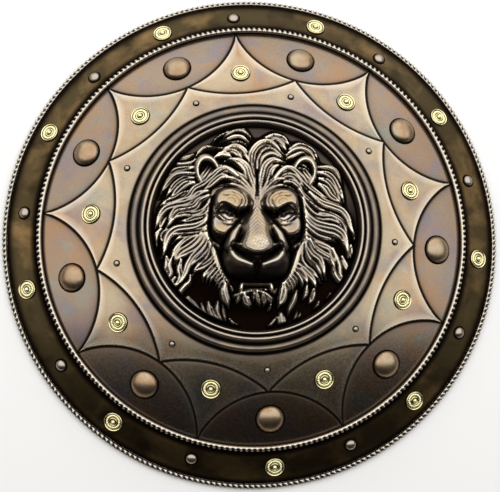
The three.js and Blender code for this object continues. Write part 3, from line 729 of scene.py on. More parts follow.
class SHIELD_OT_bosses(bpy.types.Operator):
    """Models the nine smooth boss studs"""

    bl_idname = "shield.bosses"
    bl_label = "Boss studs"

    def execute(self, context):
        sizes = context.scene.shield_sizes
        wide = sizes.boss_width / 2 / MM
        turns = [math.radians(a) for a in (4, 10, 19, 30, 42, 54, 66, 78)]
        # The skirt and the two lowest rings are painted dark as the boss's contact shadow on the plate
        master = domed_head("boss", [(wide + 1.3, 0), (wide + 1.3, 0.15), (wide - 0.1, 0.4)],
                            (wide - 0.4, 0.5, sizes.boss_height / MM), turns, (0.8, 0.25), 64)
        radius = sizes.boss_radius / MM
        height = float(dome_height(radius)) - 2 * sizes.step / MM
        stand_round(master, "boss_stud", "spun", radius, height, dome_tilt(radius), [0] * FOLDS,
                    "rubbed stud steel")
        bpy.data.objects.remove(master)
        return {"FINISHED"}


# Degrees by which each hand-placed rim rosette sits off its boss stud's line
RIM_ROSETTE_OFFSETS = (-0.4, -0.6, 0.5, -1.1, -0.7, -1.6, -1.1, -1.5, -1.8)
# Section of a rosette from its rim to its middle: distance in from the rim, height, blackening; the
# blackening outside the rim is painted contact shadow, the rest is antiquing in the grooves
ROSETTE_RINGS = (
    (-0.6, 0, 1), (-0.6, 0.2, 1), (0, 0.5, 1), (0.2, 1.7, 0.3), (0.8, 2.1, 0), (1.4, 1.9, 0),
    (1.8, 1.1, 1), (2.3, 1.1, 0.9), (2.8, 1.8, 0), (3.8, 2.2, 0), (4.8, 2.1, 0), (5.4, 1.8, 0.1),
    (5.8, 1.0, 1), (6.1, 1.0, 1), (6.5, 1.7, 0.1), (7.1, 1.9, 0), (7.7, 1.6, 0.1), (8.0, 0.9, 1))
ROSETTE_KNOB = ((3.1, 0.9, 1), (2.8, 2.2, 0.5), (2.1, 3.3, 0), (1.1, 4.1, 0), (0, 4.4, 0))
# Fine flutes on the second ring, and that ring's distance from the rim and half width
FLUTES = 24
FLUTE_HEIGHT = 0.4
FLUTE_INSET = 4.0
FLUTE_HALF_WIDTH = 1.2


class SHIELD_OT_rosettes(bpy.types.Operator):
    """Models the eighteen brass rosettes"""

    bl_idname = "shield.rosettes"
    bl_label = "Brass rosettes"

    def execute(self, context):
        sizes = context.scene.shield_sizes
        wide = sizes.rosette_width / 2 / MM
        rings = [(0, 0, 1), *((wide - r, z, g) for r, z, g in ROSETTE_RINGS), *ROSETTE_KNOB]
        master = turned("rosette", [ring[:2] for ring in rings], [ring[2] for ring in rings], 96)
        points = points_of(master)
        radius = np.hypot(points[:, 0], points[:, 1]) / MM
        angle = np.arctan2(points[:, 1], points[:, 0])
        fluted = bell((radius - (wide - FLUTE_INSET)) / FLUTE_HALF_WIDTH)
        points[:, 2] += fluted * FLUTE_HEIGHT * MM * np.cos(angle * FLUTES)
        move_points(master, points)
        inner = sizes.inner_rosette_radius / MM
        rim = sizes.rim_rosette_radius / MM
        stand_round(master, "inner_rosette", "stamped", inner,
                    float(dome_height(inner)) - sizes.step / MM, dome_tilt(inner),
                    [-SECTOR / 2] * FOLDS, "stamped brass")
        stand_round(master, "rim_rosette", "stamped", rim, band_height(rim), BAND_TILT,
                    [math.radians(a) for a in RIM_ROSETTE_OFFSETS], "stamped brass")
        bpy.data.objects.remove(master)
        return {"FINISHED"}


# Rivet heads, in millimetres
RIM_RIVET_HEIGHT = 4.2
SMALL_RIVET_HEIGHT = 2.6
STRAP_RIVET_WIDTH = 12
STRAP_RIVET_HEIGHT = 2.4


class SHIELD_OT_rivets(bpy.types.Operator):
    """Models the rim rivets, the small rivets and the strap rivets"""

    bl_idname = "shield.rivets"
    bl_label = "Rivets"

    def execute(self, context):
        sizes = context.scene.shield_sizes
        rim = sizes.rim_rivet_radius / MM
        small = sizes.small_rivet_radius / MM
        kinds = [("rim_rivet", sizes.rim_rivet_width / MM, RIM_RIVET_HEIGHT, rim,
                  band_height(rim), BAND_TILT, -SECTOR / 2),
                 ("small_rivet", sizes.small_rivet_width / MM, SMALL_RIVET_HEIGHT, small,
                  float(dome_height(small)), dome_tilt(small), 0)]
        for name, width, tall, radius, height, tilt, offset in kinds:
            master = rivet_head(name, width, tall, 0.12 * width)
            stand_round(master, name, "domed", radius, height, tilt, [offset] * FOLDS,
                        "domed rivet steel")
            bpy.data.objects.remove(master)
        master = rivet_head("strap_rivet", STRAP_RIVET_WIDTH, STRAP_RIVET_HEIGHT, 0)
        for strap in ("arm_strap", "grip_strap"):
            for end in ("upper", "lower"):
                node = f"{strap}_rivet_{end}"
                low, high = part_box(node)
                place = ((low[0] + high[0]) / 2, (low[1] + high[1]) / 2, high[2])
                head = copy_of(master)
                head.matrix_world = Matrix.Translation(place) @ Matrix.Rotation(math.pi, 4, "X")
                place_in_mesh(head, node + "_domed")
                finish_piece(head, node, "domed rivet steel", 50)
        bpy.data.objects.remove(master)
        return {"FINISHED"}


class SHIELD_OT_straps(bpy.types.Operator):
    """Models the two leather straps on the back"""

    bl_idname = "shield.straps"
    bl_label = "Straps"

    def execute(self, context):
        for name in ("arm_strap", "grip_strap"):
            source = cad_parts[name]
            strap = copy_of(source)
            for key in list(strap.keys()):
                del strap[key]
            strap.parent = None
            strap.name = name + "_leather"
            fix_normals(strap)
            bevel = strap.modifiers.new("edge", "BEVEL")
            bevel.width = 0.9 * MM
            bevel.segments = 2
            bevel.limit_method = "ANGLE"
            bevel.angle_limit = math.radians(40)
            pick(strap)
            bpy.ops.object.modifier_apply(modifier=bevel.name)
            finish_piece(strap, name, "strap leather", 40)
        return {"FINISHED"}


# Lion relief: heights in millimetres above the medallion's floor, x right and y to the crown

FLOOR_RADIUS = 120
FLOOR_HEIGHT = 72


def smooth_step(a, b, x):
    t = np.clip((x - a) / (b - a), 0.0, 1.0)
    return t * t * (3 - 2 * t)


def smooth_max(a, b, k):
    h = np.clip(0.5 + 0.5 * (a - b) / k, 0.0, 1.0)
    return b + (a - b) * h + k * h * (1 - h)


def ellipse(x, y, cx, cy, rx, ry, turn=0.0):
    """Radius in an ellipse's own units: 0 at its centre, 1 on its edge."""
    c, s = math.cos(math.radians(turn)), math.sin(math.radians(turn))
    u = (c * (x - cx) + s * (y - cy)) / rx
    v = (-s * (x - cx) + c * (y - cy)) / ry
    return np.hypot(u, v)


def bell(q):
    return np.exp(-q * q)


STEPS_PER_SPAN = 6


def spline(points):
    """Catmull-Rom curve through the points."""
    p = [np.array(q, float) for q in points]
    p = [2 * p[0] - p[1], *p, 2 * p[-1] - p[-2]]
    curve = []
    for i in range(1, len(p) - 2):
        for t in np.arange(STEPS_PER_SPAN) / STEPS_PER_SPAN:
            curve.append(0.5 * (
                2 * p[i] + (p[i + 1] - p[i - 1]) * t
                + (2 * p[i - 1] - 5 * p[i] + 4 * p[i + 1] - p[i + 2]) * t ** 2
                + (3 * p[i] - p[i - 1] - 3 * p[i + 1] + p[i + 2]) * t ** 3))
    curve.append(p[-2])
    return np.array(curve)


def nearest(path, x, y):
    """Share of the way along a path, and signed distance off it."""
    best = np.full(x.shape, 1e9)
    along = np.zeros(x.shape)
    side = np.zeros(x.shape)
    lengths = np.hypot(*np.diff(path, axis=0).T)
    starts = np.concatenate([[0], np.cumsum(lengths)])
    for i, ((ax, ay), (bx, by)) in enumerate(zip(path[:-1], path[1:])):
        dx, dy = bx - ax, by - ay
        t = np.clip(((x - ax) * dx + (y - ay) * dy) / (dx * dx + dy * dy), 0, 1)
        ex, ey = x - ax - t * dx, y - ay - t * dy
        distance = ex * ex + ey * ey
        nearer = distance < best
        best = np.where(nearer, distance, best)
        along = np.where(nearer, (starts[i] + t * lengths[i]) / starts[-1], along)
        side = np.where(nearer, np.sign(dx * ey - dy * ex), side)
    return along, side * np.sqrt(best)


# Named lines of the face, for its right half and mirrored
BROW_EDGE = spline([(8, 19), (12, 16.3), (17, 15), (22, 14), (26, 15.5), (31, 18.8), (36, 21.2),
                    (40, 21.6), (44.5, 18.5), (48.5, 12.5)])
UPPER_LID = spline([(26, 7.5), (30, 11), (37, 13), (43, 13), (47.5, 12.5)])
LID_FOLD = spline([(34, 15.6), (39, 16.4), (43.5, 15.4)])
LOWER_LID = spline([(22, 5), (26, 3.2), (32, 1.8), (38, 3.4), (44, 8.5)])
TEAR_LINE = spline([(20, 3.5), (23, 0), (27.5, -6.5), (33, -12), (38, -20), (41, -26)])
# Painted shade in the socket round the eye: places across, and how high its top and its foot lie there
SOCKET_TOP = ((8, 12, 17, 20, 23, 26, 30, 33, 36, 40, 44, 47, 49),
              (18, 17.5, 15.8, 14, 15, 15.4, 17.2, 19.8, 21, 20.2, 17.6, 14.4, 12))
SOCKET_FOOT = ((8, 12, 16, 20, 22, 24, 26, 29, 32, 34, 36, 38, 40, 43, 49),
               (15.5, 12, 8, 4.5, 5.5, 7.5, 8, 6.6, 6.4, 8, 10, 10.6, 9.8, 10.4, 12.2))
# Painted lines of the eye and brow, shade and shadows as blackening and highlights as sheen: points,
# half width, blackening, sheen
EYE_SHADE_AND_HIGHLIGHTS = [
    ([(18, 27), (18.6, 21), (23, 15.5)], 1.0, 0.95, 0),
    ([(17, 20), (19.3, 16), (22, 13.3)], 0.8, 0, 0.5),
    ([(33.5, 13.4), (38.5, 14.2), (43, 13.4)], 1.1, 0.1, 0.4),
    ([(30.6, 9.8), (32.6, 11)], 1.0, 0.15, 0.35),
    ([(25, 7), (28.5, 5.3), (32, 5.0), (35, 7.3), (38.5, 9.4)], 1.25, 0, 0.65),
    ([(26.5, 4.6), (31, 2.9), (36, 4.6), (39.5, 8)], 0.8, 0.95, 0),
    ([(21.5, 3), (27, 1.9), (31, 0.5), (35, 0.8), (39, 3.6), (44, 9.4)], 1.1, 0, 0.6),
    ([(25.5, 0), (28.5, -2), (32, -2.8), (36, -2.2)], 1.0, 0.9, 0),
    ([(35, -2.2), (39, 0), (42.5, 4)], 1.0, 0.45, 0),
    ([(39, 21.8), (44, 18.6), (47, 15), (49, 10), (49.6, 0)], 0.9, 0, 0.5),
    ([(32, 31.2), (36, 30.8), (40, 31.8)], 0.9, 0.75, 0),
    ([(25, 31), (26.6, 33.6), (29, 35.6)], 0.6, 0.5, 0),
    ([(17, 33), (20, 37.5), (27, 40.5), (38, 39)], 1.5, 0.8, 0),
    ([(38, 39.5), (44, 35), (48, 28), (50, 19)], 2.6, 0.85, 0),
]
NOSE_WEDGE = spline([(13.5, -8), (16, -15), (20, -21.5), (25.5, -27)])
NOSTRIL = spline([(26, -29.8), (22.8, -31), (19.5, -35), (13.5, -39.5), (6, -44)])
LIP_RIM = spline([(28.6, -32), (28, -38), (22.5, -44.3), (15, -47.6), (7, -50.3)])
FACE_EDGE = spline([(48, 35), (51.5, 24), (53.4, 8), (53.6, -8), (51, -17), (46, -23.5)])


def ridge(h, side, y, points, width, drop, blend, power=2):
    """Raises a ridge along a line whose points carry their heights."""
    points = np.array(points, float)
    path = spline(points[:, :2])
    heights = spline(np.column_stack([points[:, 2], 0 * points[:, 2]]))[:, 0]
    along, off = nearest(path, side, y)
    lengths = np.concatenate([[0], np.cumsum(np.hypot(*np.diff(path, axis=0).T))])
    top = np.interp(along, lengths / lengths[-1], heights)
    return smooth_max(h, top - drop * np.abs(off / width) ** power, blend)


def pad(side, y, cx, cy, rx, ry, low, high, turn, power):
    """A mound from a low level to a high one, with a flatter top for a higher power."""
    q = ellipse(side, y, cx, cy, rx, ry, turn)
    return np.where(q < 1, low + (high - low) * np.sqrt(np.clip(1 - q ** power, 0, 1)),
                    low - 12 * (q - 1))


# Shapes that both the relief and its blackening follow: upward curve of the nose's lower edge,
# place of the open mouth, slope of the chevrons down the nose, and mean radius of the brow rings
NOSE_FOOT_CURVE = 0.014
MOUTH_HEIGHT = -73.5
MOUTH_HALF_WIDTH = 20
CHEVRON_SLOPE = 1.05
BROW_SPAN = 10.5


def nose_bridge(side, y):
    half = np.interp(y, (-36, -33, -27, -20, -10, -5, 0, 5, 10, 20, 30),
                     (13, 18, 20, 17.5, 15.5, 16, 15, 12.5, 9, 5.5, 5))
    crest = 33.5 + 17.5 * smooth_step(30, -30, y)
    top = crest - 11 * np.clip(side / half, 0, 2.5) ** 3.6
    edge = -36.5 + NOSE_FOOT_CURVE * side ** 2
    return top - 40 * np.clip(edge - y, 0, None) / 7 - 3.0 * np.clip(y - 30, 0, None)


# Raised lines of the face: across, up and height above the floor
JAW_BAND = [(58, -2, 20), (55.5, -18, 23), (49.5, -33, 23.5), (45.5, -46, 23), (40.5, -58, 23),
            (34.5, -68, 22)]
MUZZLE_SIDE = [(20.5, -4, 31), (24.5, -11, 35.5), (28, -20, 39), (30.5, -27, 39)]
UPPER_LIP = [(28.6, -32, 37.5), (28, -38, 40.5), (22.5, -44.3, 43), (15, -47.6, 44), (7, -50.3, 43.5)]
NOSTRIL_WING = [(29.5, -28.5, 37.5), (25.5, -26.5, 41.5), (20, -28, 45)]
CHEEK_KNOB = [(54, -16, 22), (48.5, -23, 25), (43.5, -27.5, 28)]


def face_form(side, y):
    h = pad(side, y, 0, 2, 52, 56, 0, 25, 0, 6)  # skull
    h = smooth_max(h, pad(side, y, 38, -1, 14.5, 14.5, 20, 29.5, -8, 7), 1.5)  # cheeks
    h = h - 7 * bell(ellipse(side, y, 43, -19.5, 9, 5.5, 20) ** 2)
    h = smooth_max(h, pad(side, y, 0, -38, 41, 34, 0, 38, 0, 2.6), 3)  # muzzle
    h = smooth_max(h, pad(side, y, 17, -46, 23, 21, 0, 42, 0, 2.6), 4)  # whisker pads
    h = smooth_max(h, pad(side, y, 0, 36, 38, 26, 0, 30, 0, 4), 4)  # forehead
    brow = pad(side, y, 29.5, 25.5, 20, 16, 27, 36, 12, 3.4) - 0.16 * (y - 24)
    h = smooth_max(h, brow, 4)
    h = smooth_max(h, pad(side, y, 0, 18, 12, 17, 0, 35, 0, 3), 3)  # knot between the brows
    h = ridge(h, side, y, MUZZLE_SIDE, 4.4, 5, 2, 3)
    h = smooth_max(h, nose_bridge(side, y), 2)
    along, off = nearest(NOSE_WEDGE, side, y)
    h = h - 8 * smooth_step(0, 0.4, along) * bell(off / (1.4 + 2.0 * along))
    h = ridge(h, side, y, UPPER_LIP, 3.6, 5, 1, 4)
    h = ridge(h, side, y, NOSTRIL_WING, 1.8, 4, 1)
    return ridge(h, side, y, CHEEK_KNOB, 1.7, 4, 1)


def wrinkles(h, side, y):
    """Fur lines: rings round the brows and chevrons and pores down the nose.

    The hairs are about 3 mm apart, which is coarser than a real casting's, so that they show.
    """
    brow = ellipse(side, y, 30, 26, 12, 9, 12)
    ring = np.cos(2 * math.pi * (brow * BROW_SPAN) / 3.4)
    furred = smooth_step(1.0, 1.35, brow) * smooth_step(3.4, 2.6, brow) * smooth_step(8, 15, y)
    furred = furred * smooth_step(47, 40, side) * smooth_step(0.3, 2, side)
    h = h + 0.95 * ring * furred
    chevron = np.cos(2 * math.pi * (y + CHEVRON_SLOPE * side) / 3.0)
    on_nose = smooth_step(15, 11, side) * smooth_step(16, 9, y) * smooth_step(-25, -16, y)
    h = h + 0.35 * chevron * on_nose
    pore = np.cos(side * 1.7 + 1.3 * np.sin(y)) * np.cos(y * 1.5 + 1.1 * np.sin(side * 1.3))
    on_tip = smooth_step(-15, -22, y) * smooth_step(-36, -32, y) * smooth_step(17, 12, side)
    return h + 0.35 * pore * on_tip


def carve_eye(h, side, y):
    along, off = nearest(BROW_EDGE, side, y)
    below = off < 0
    hollow = bell(np.where(below, off / 4.0, off / 0.9))
    ends = smooth_step(0, 0.1, along) * smooth_step(1.0, 0.92, along)
    h = h - (6.0 + 6.0 * bell((along - 0.3) / 0.22)) * hollow * (0.3 + 0.7 * ends)
    corner = ellipse(side, y, 20, 9.5, 10.5, 5.2, -24)
    h = h - 9 * bell(corner ** 2)
    socket = ellipse(side, y, 35, 8, 13.5, 7.4, 12)
    h = np.where(socket < 1, np.minimum(h, 23 + 4 * socket ** 4), h)
    q = ellipse(side, y, 35, 7.4, 11, 5.0, 14)
    ball = 24 + 2.6 * np.sqrt(np.clip(1 - q * q, 0, 1)) - 0.12 * (y - 7.4)
    h = np.where(q < 1, ball, h)
    iris = ellipse(side, y, 34, 8.2, 4.2, 4.2)
    h = h - 1.0 * bell(iris / 0.7) * (q < 1)
    lids = ((UPPER_LID, 29.5, 1.9, 1.0, 0), (LOWER_LID, 29.8, 1.7, 1.1, 0), (LID_FOLD, 30, 1.4, 1.8, 3))
    for line, level, half, steep, curl in lids:
        along, off = nearest(line, side, y)
        lid = level - steep * off ** 2 - curl * np.abs(2 * along - 1) ** 3
        h = np.maximum(h, np.where(np.abs(off) < half, lid, 0))
    bag = ellipse(side, y, 34, 3.5, 13, 6.5, 12)
    h = h - 1.6 * bell((bag - 1.05) / 0.12) * smooth_step(3, -1, y) * smooth_step(46, 38, side)
    along, off = nearest(TEAR_LINE, side, y)
    return h - 6.0 * (1 - 0.3 * along) * bell(off / 1.6)


def carve_mouth(h, side, y):
    along, off = nearest(NOSTRIL, side, y)
    h = h - 13 * (1 - 0.4 * along) * bell(off / 3.0)
    h = h - 8 * bell(side / 3.2) * smooth_step(-42, -48, y) * smooth_step(-72, -64, y)
    h = h - 14 * smooth_step(-54, -66, y) * smooth_step(34, 26, side)
    gap = np.maximum(side / MOUTH_HALF_WIDTH, np.abs(y - MOUTH_HEIGHT) / 5.2)
    gap = smooth_step(1.08, 0.95, gap)
    h = h * (1 - gap) + 9 * gap
    upper = smooth_step(2.0, 0.9, np.abs(y + 70.4)) * smooth_step(17.5, 16, side)
    lower = smooth_step(1.6, 0.6, np.abs(y + 75.4 + 0.008 * side ** 2)) * smooth_step(16, 14, side)
    h = np.maximum(h, np.maximum(24 * upper, 19.5 * lower))
    canine = ellipse(side, y, 17.3 - 0.1 * (y + 74), -74, 2.6, 6.4)
    return np.where(canine < 1, np.maximum(h, 21 + 5 * np.sqrt(np.clip(1 - canine ** 2, 0, 1))), h)


LOWER_LIP = [(-25, -83.5, 21), (-16, -81, 25), (-8, -78.8, 26), (-2, -78, 26.5), (5, -79.3, 26),
             (12, -82.5, 25), (17.5, -87, 22)]


def ear_form(side, y):
    """A rounded ear, open to the front."""
    c, s = math.cos(math.radians(-14)), math.sin(math.radians(-14))
    q = ellipse(side, y, 57, 63, 17, 23.5, -14)
    inner = ellipse(side, y, 55.5, 58.5, 12, 19, -14)
    upward = (-s * (side - 55.5) + c * (y - 58.5)) / 19
    rim = 24 * np.sqrt(np.clip(1 - np.clip(q, 0, 1) ** 6, 0, 1))
    hollow = (3 + 10 * smooth_step(-0.1, 0.8, upward)) * smooth_step(1.0, 0.82, inner)
    hollow = hollow - 1.2 * np.cos(1.4 * (side + 0.6 * y)) * smooth_step(0.8, 0.5, inner)
    return np.where(q < 1, rim - hollow, -5)


# Depth of the grooves combed into a lock, and drop from its crown to its edge
COMB = 3.0
EDGE_DROP = 8.5


def lay_locks(h, x, y, *tables):
    """Lays the locks of each table over the ones before."""
    for table in tables:
        for lock in table:
            lay_lock(h, x, y, lock)


def lay_lock(h, x, y, lock):
    """Raises the relief where a tapered, crowned and combed ribbon of hair lies."""
    points, half_width, root, tip, strands = lock
    path = spline(points)
    reach = half_width * 1.2
    low = path.min(0) - reach
    high = path.max(0) + reach
    near = (x >= low[0]) & (x <= high[0]) & (y >= low[1]) & (y <= high[1])
    along, off = nearest(path, x[near], y[near])
    swell = 0.55 + 0.45 * smooth_step(0, 0.3, along)
    taper = 1 - 0.93 * smooth_step(0.55, 1.0, along) ** 1.2
    q = off / (half_width * swell * taper)
    crown = np.sqrt(np.clip(1 - q * q, 0, 1))
    comb = (1 - np.abs(np.sin(math.pi * strands * (q + 1) / 2))) ** 0.8
    pitch = 2 * half_width * swell * taper / strands
    comb = comb * smooth_step(1.8, 3.6, pitch) * (np.abs(q) < 1 - 0.5 / strands)
    top = root + (tip - root) * along - EDGE_DROP * (1 - crown) - COMB * comb
    h[near] = np.maximum(h[near], np.where(np.abs(q) < 1, top, -5))


# Locks of hair traced over the photograph: points from the root on, half width, height of
# the root and of the tip, and how many strands the lock is combed into
OUTER_LEFT = [
    ([(-74, 84), (-84, 80), (-94, 78.5), (-102, 76)], 3.2, 15, 10, 1),
    ([(-71, 77), (-78, 73), (-90, 72.5), (-101, 75.5)], 3.6, 17, 10, 1),
    ([(-72, 68), (-84, 66.5), (-95, 64.5), (-104, 57), (-112, 48)], 4.4, 18, 9, 2),
    ([(-73, 60), (-85, 60.5), (-95, 58.5), (-103, 51), (-109, 42), (-114, 32)], 4.4, 19.5, 9, 1),
    ([(-73, 55), (-84, 55), (-94, 49), (-101, 40), (-107, 30)], 4.2, 18, 9, 2),
    ([(-73, 49), (-82, 48), (-90, 42), (-97, 35), (-103, 31)], 5.4, 20, 12, 2),
    ([(-76, 40), (-86, 36), (-95, 30.5), (-106, 27), (-115, 20)], 4.4, 17, 9, 2),
    ([(-60, 38), (-70, 31), (-82, 25), (-95, 22.5), (-106, 18.5), (-113, 9), (-117, -3),
      (-121, -12)], 5.2, 24, 8, 2),
    ([(-98, 17), (-104, 12), (-109, 5), (-112, -3), (-114, -9)], 4.6, 12, 8, 2),
    ([(-111, -5), (-117, -14), (-118, -26), (-116.5, -37), (-121, -46)], 4.6, 12, 7, 2),
    ([(-103, -6), (-109, -12), (-110, -22)], 3.6, 13, 9, 2),
    ([(-104, -38), (-103, -48), (-106, -57), (-113, -66)], 4.6, 13, 7, 2),
    ([(-97, -38), (-101, -48), (-99, -58), (-105, -65), (-113, -69)], 4.2, 14, 7, 1),
    ([(-87, -42), (-88.5, -52), (-87, -60), (-90, -67), (-99, -74)], 4.4, 16, 9, 2),
    ([(-94, -62), (-98, -69), (-96, -78), (-93, -88), (-91, -96)], 4.4, 12, 7, 2),
    ([(-76, -60), (-77, -67), (-83, -73), (-88, -80), (-87.5, -91), (-84, -101)], 3.8, 17, 8, 1),
]
INNER_LEFT = [
    ([(-22, 55), (-31, 62.5), (-41, 63), (-51, 54.5), (-61, 46), (-71, 41), (-79, 32),
      (-93, 27.5), (-108, 24)], 6.2, 31, 13, 3),
    ([(-30, 53), (-40, 56), (-49, 50), (-58, 42), (-66, 38)], 4.6, 29, 21, 2),
    ([(-57, 38), (-66, 36), (-76, 30), (-88, 28), (-99, 25)], 4.6, 26, 14, 2),
    ([(-56, 32), (-66, 27), (-72, 20), (-82, 17.5), (-92, 16), (-98, 9), (-101, 1),
      (-109, -9)], 6.2, 27, 11, 3),
    ([(-57, 22), (-63, 15), (-74, 11.5), (-84, 12.5), (-93, 9), (-100, 0)], 4.4, 25, 13, 2),
    ([(-56, 15), (-62, 9), (-72, 6.5), (-82, 4), (-93, 4.5)], 4.2, 25, 14, 2),
    ([(-56, 8), (-61, 2), (-71, -3), (-83, -4.5), (-93, -6), (-101, -12), (-105, -22),
      (-107, -33), (-112, -45)], 5.6, 27, 9, 2),
    ([(-57, -3), (-66, -8), (-77, -9.5), (-88, -10), (-96, -13), (-101, -19)], 4.2, 25, 14, 2),
    ([(-58, -7), (-68, -12.5), (-80, -13.5), (-90, -16), (-99, -23)], 3.8, 24, 13, 2),
    ([(-69, -14), (-76, -17), (-84, -22), (-91, -29), (-97, -38), (-99, -46)], 5.4, 22, 12, 3),
    ([(-64, -12), (-70, -20), (-78, -26.5), (-87, -32), (-93, -39), (-95, -49)], 5.0, 25, 13, 2),
    ([(-60, -12), (-65, -22), (-72, -29), (-82, -34.5), (-90, -40), (-93, -50)], 4.6, 26, 14, 2),
    ([(-57, -12), (-60, -23), (-67, -32), (-74, -39), (-79, -48), (-82, -57), (-87, -66),
      (-93, -73), (-95, -80)], 4.8, 27, 9, 2),
    ([(-55.5, -18), (-58, -29), (-64, -37), (-71, -44), (-77, -52)], 4.4, 27, 16, 2),
    ([(-53, -24), (-55, -35), (-60, -43), (-67, -49), (-75, -57)], 5.0, 27, 16, 3),
    ([(-49, -37), (-53, -44), (-60, -49), (-68, -53), (-74, -60)], 4.4, 25, 15, 2),
]
OUTER_RIGHT = [
    ([(73, 70), (84, 70), (93, 67), (99, 58), (103, 47)], 4.2, 18, 9, 1),
    ([(73, 63), (83, 62.5), (91, 57), (97, 47), (102, 36), (106, 24)], 4.6, 20, 9, 2),
    ([(74, 56), (84, 53.5), (91, 46), (97, 36), (103, 27)], 4.4, 19, 10, 2),
    ([(74, 49), (82, 44), (88, 36), (96, 31), (103, 27)], 5.0, 20.5, 12, 2),
    ([(78, 36), (86, 30), (96, 26), (105, 20)], 4.2, 17, 10, 2),
    ([(62, 38), (69, 32), (78, 26), (90, 22.5), (101, 18.5), (108, 10), (111.5, 0), (116, -11),
      (115, -22)], 5.0, 25, 8, 2),
    ([(74, 14), (86, 13), (96, 9), (103, 2), (107, -8), (109, -16)], 5.2, 19, 10, 3),
    ([(112, -22), (112, -32), (116, -44)], 4.2, 10, 7, 2),
    ([(101, -36), (105, -46), (111, -56), (109, -66)], 4.4, 13, 7, 2),
    ([(90, -27), (94, -37), (98, -47), (99, -57), (104, -64), (110, -68)], 4.0, 17, 8, 1),
    ([(90, -44), (92, -55), (97, -63), (105, -68.5), (112, -70)], 4.0, 15, 7, 1),
    ([(106, -70), (96, -76), (87, -83)], 3.6, 11, 7, 1),
]
INNER_RIGHT = [
    ([(21, 53), (29, 62), (38, 65.5), (47, 60), (55, 50.5), (64, 42.5), (74, 36), (81, 30.5),
      (92, 27), (103, 25)], 6.0, 31, 13, 3),
    ([(26, 52), (34, 57), (43, 57), (51, 50), (58, 42)], 4.6, 29.5, 22, 2),
    ([(32, 49), (41, 51), (50, 45), (57, 38)], 4.0, 28, 23, 2),
    ([(50, 41), (57, 32), (66, 24.5), (76, 18), (88, 16.5)], 5.4, 26, 17, 3),
    ([(54, 30), (59, 20), (67, 12), (77, 9), (88, 9), (97, 4), (104, -5)], 5.4, 26.5, 12, 2),
    ([(55, 18), (61, 9), (70, 2), (82, -1), (93, -3), (102, -9), (106, -19), (108, -31),
      (108.5, -43)], 5.6, 27.5, 9, 2),
    ([(55.5, 8), (62, 0), (71, -5.5), (82, -8.5), (92, -10.5), (99, -15), (104, -24)], 4.8, 27, 13, 1),
    ([(56, 0), (64, -7), (74, -13), (86, -15.5), (97, -19)], 3.8, 25.5, 14, 1),
    ([(55, -5), (60, -12), (68, -17.5), (79, -21), (90, -24)], 3.8, 25, 14, 1),
    ([(67, -20), (77, -24), (86, -28), (91, -37), (95, -47)], 4.6, 22, 13, 2),
    ([(62, -18), (68, -28), (77, -34), (86, -39), (91, -48), (90, -57)], 5.6, 26, 13, 3),
    ([(58, -16), (61, -26), (66, -34), (74, -40), (78, -49), (80, -58), (84, -65)], 4.8, 27, 13, 2),
    ([(57, -22), (58, -32), (63, -41), (70, -48), (75, -56), (79, -64)], 4.8, 26, 14, 3),
    ([(54, -20), (51.5, -32), (52, -42), (58, -50), (67, -56), (73, -63), (77, -69)], 4.8, 27.5, 13, 2),
    ([(49, -47), (56, -53), (63, -60), (68, -67), (70, -77)], 4.4, 24, 13, 2),
]
CROWN = [
    ([(-7, 108), (-14, 116), (-25, 115.5), (-37, 111), (-48, 104), (-53, 95)], 2.0, 12, 10, 1),
    ([(-6, 105), (-14, 112), (-23, 113.5), (-33, 109), (-43, 101)], 2.6, 17, 14, 1),
    ([(-9, 99), (-17, 105.5), (-26, 106), (-35, 102.5), (-43, 100.5)], 3.2, 19, 15, 1),
    ([(-11, 96), (-19, 99.5), (-28, 99.5), (-39, 97.5)], 2.0, 17, 15, 1),
    ([(-25, 94), (-36, 92.5), (-47, 93), (-53, 97)], 1.8, 14, 12, 1),
    ([(-50, 92), (-59, 92.5), (-67, 87), (-73, 77)], 2.6, 20, 16, 1),
    ([(-42, 84), (-33, 89), (-24, 87.5), (-18, 80), (-15, 72)], 5.0, 19, 20, 3),
    ([(-36, 91), (-25, 93), (-16, 89), (-11, 80), (-9, 72)], 5.4, 18.5, 20, 3),
    ([(-48, 80), (-41, 84), (-33, 83), (-27, 77)], 3.8, 20, 20, 2),
    ([(12, 106), (22, 108.5), (32, 106), (38, 100), (43, 95)], 4.6, 14, 10, 2),
    ([(14, 101), (23, 103), (30, 99), (35, 92), (38, 87)], 4.6, 16, 13, 3),
    ([(40, 92), (50, 97), (61, 94.5), (70, 87), (75, 75)], 4.2, 16, 12, 2),
    ([(36, 84), (44, 90), (54, 92), (63, 88), (69, 80), (72, 72)], 4.0, 19, 17, 1),
    ([(36, 79), (45, 83.5), (54, 86.5), (61, 84)], 3.4, 19, 20, 1),
    ([(-3, 58), (-5.5, 72), (-4, 86), (4, 96), (14, 99), (23, 95), (30, 87), (37, 81)], 5.6, 24, 17, 3),
    ([(1, 66), (2, 78), (9, 89), (18, 91), (26, 86), (35, 79.5)], 4.8, 22, 18, 3),
    ([(4, 68), (8, 79), (17, 84.5), (26, 82), (35, 77)], 4.4, 23, 20, 1),
    ([(44, 71), (54, 72), (63, 67)], 2.6, 20, 17, 1),
    ([(45, 67.5), (55, 67.5), (63, 63.5)], 2.4, 20, 17, 1),
]
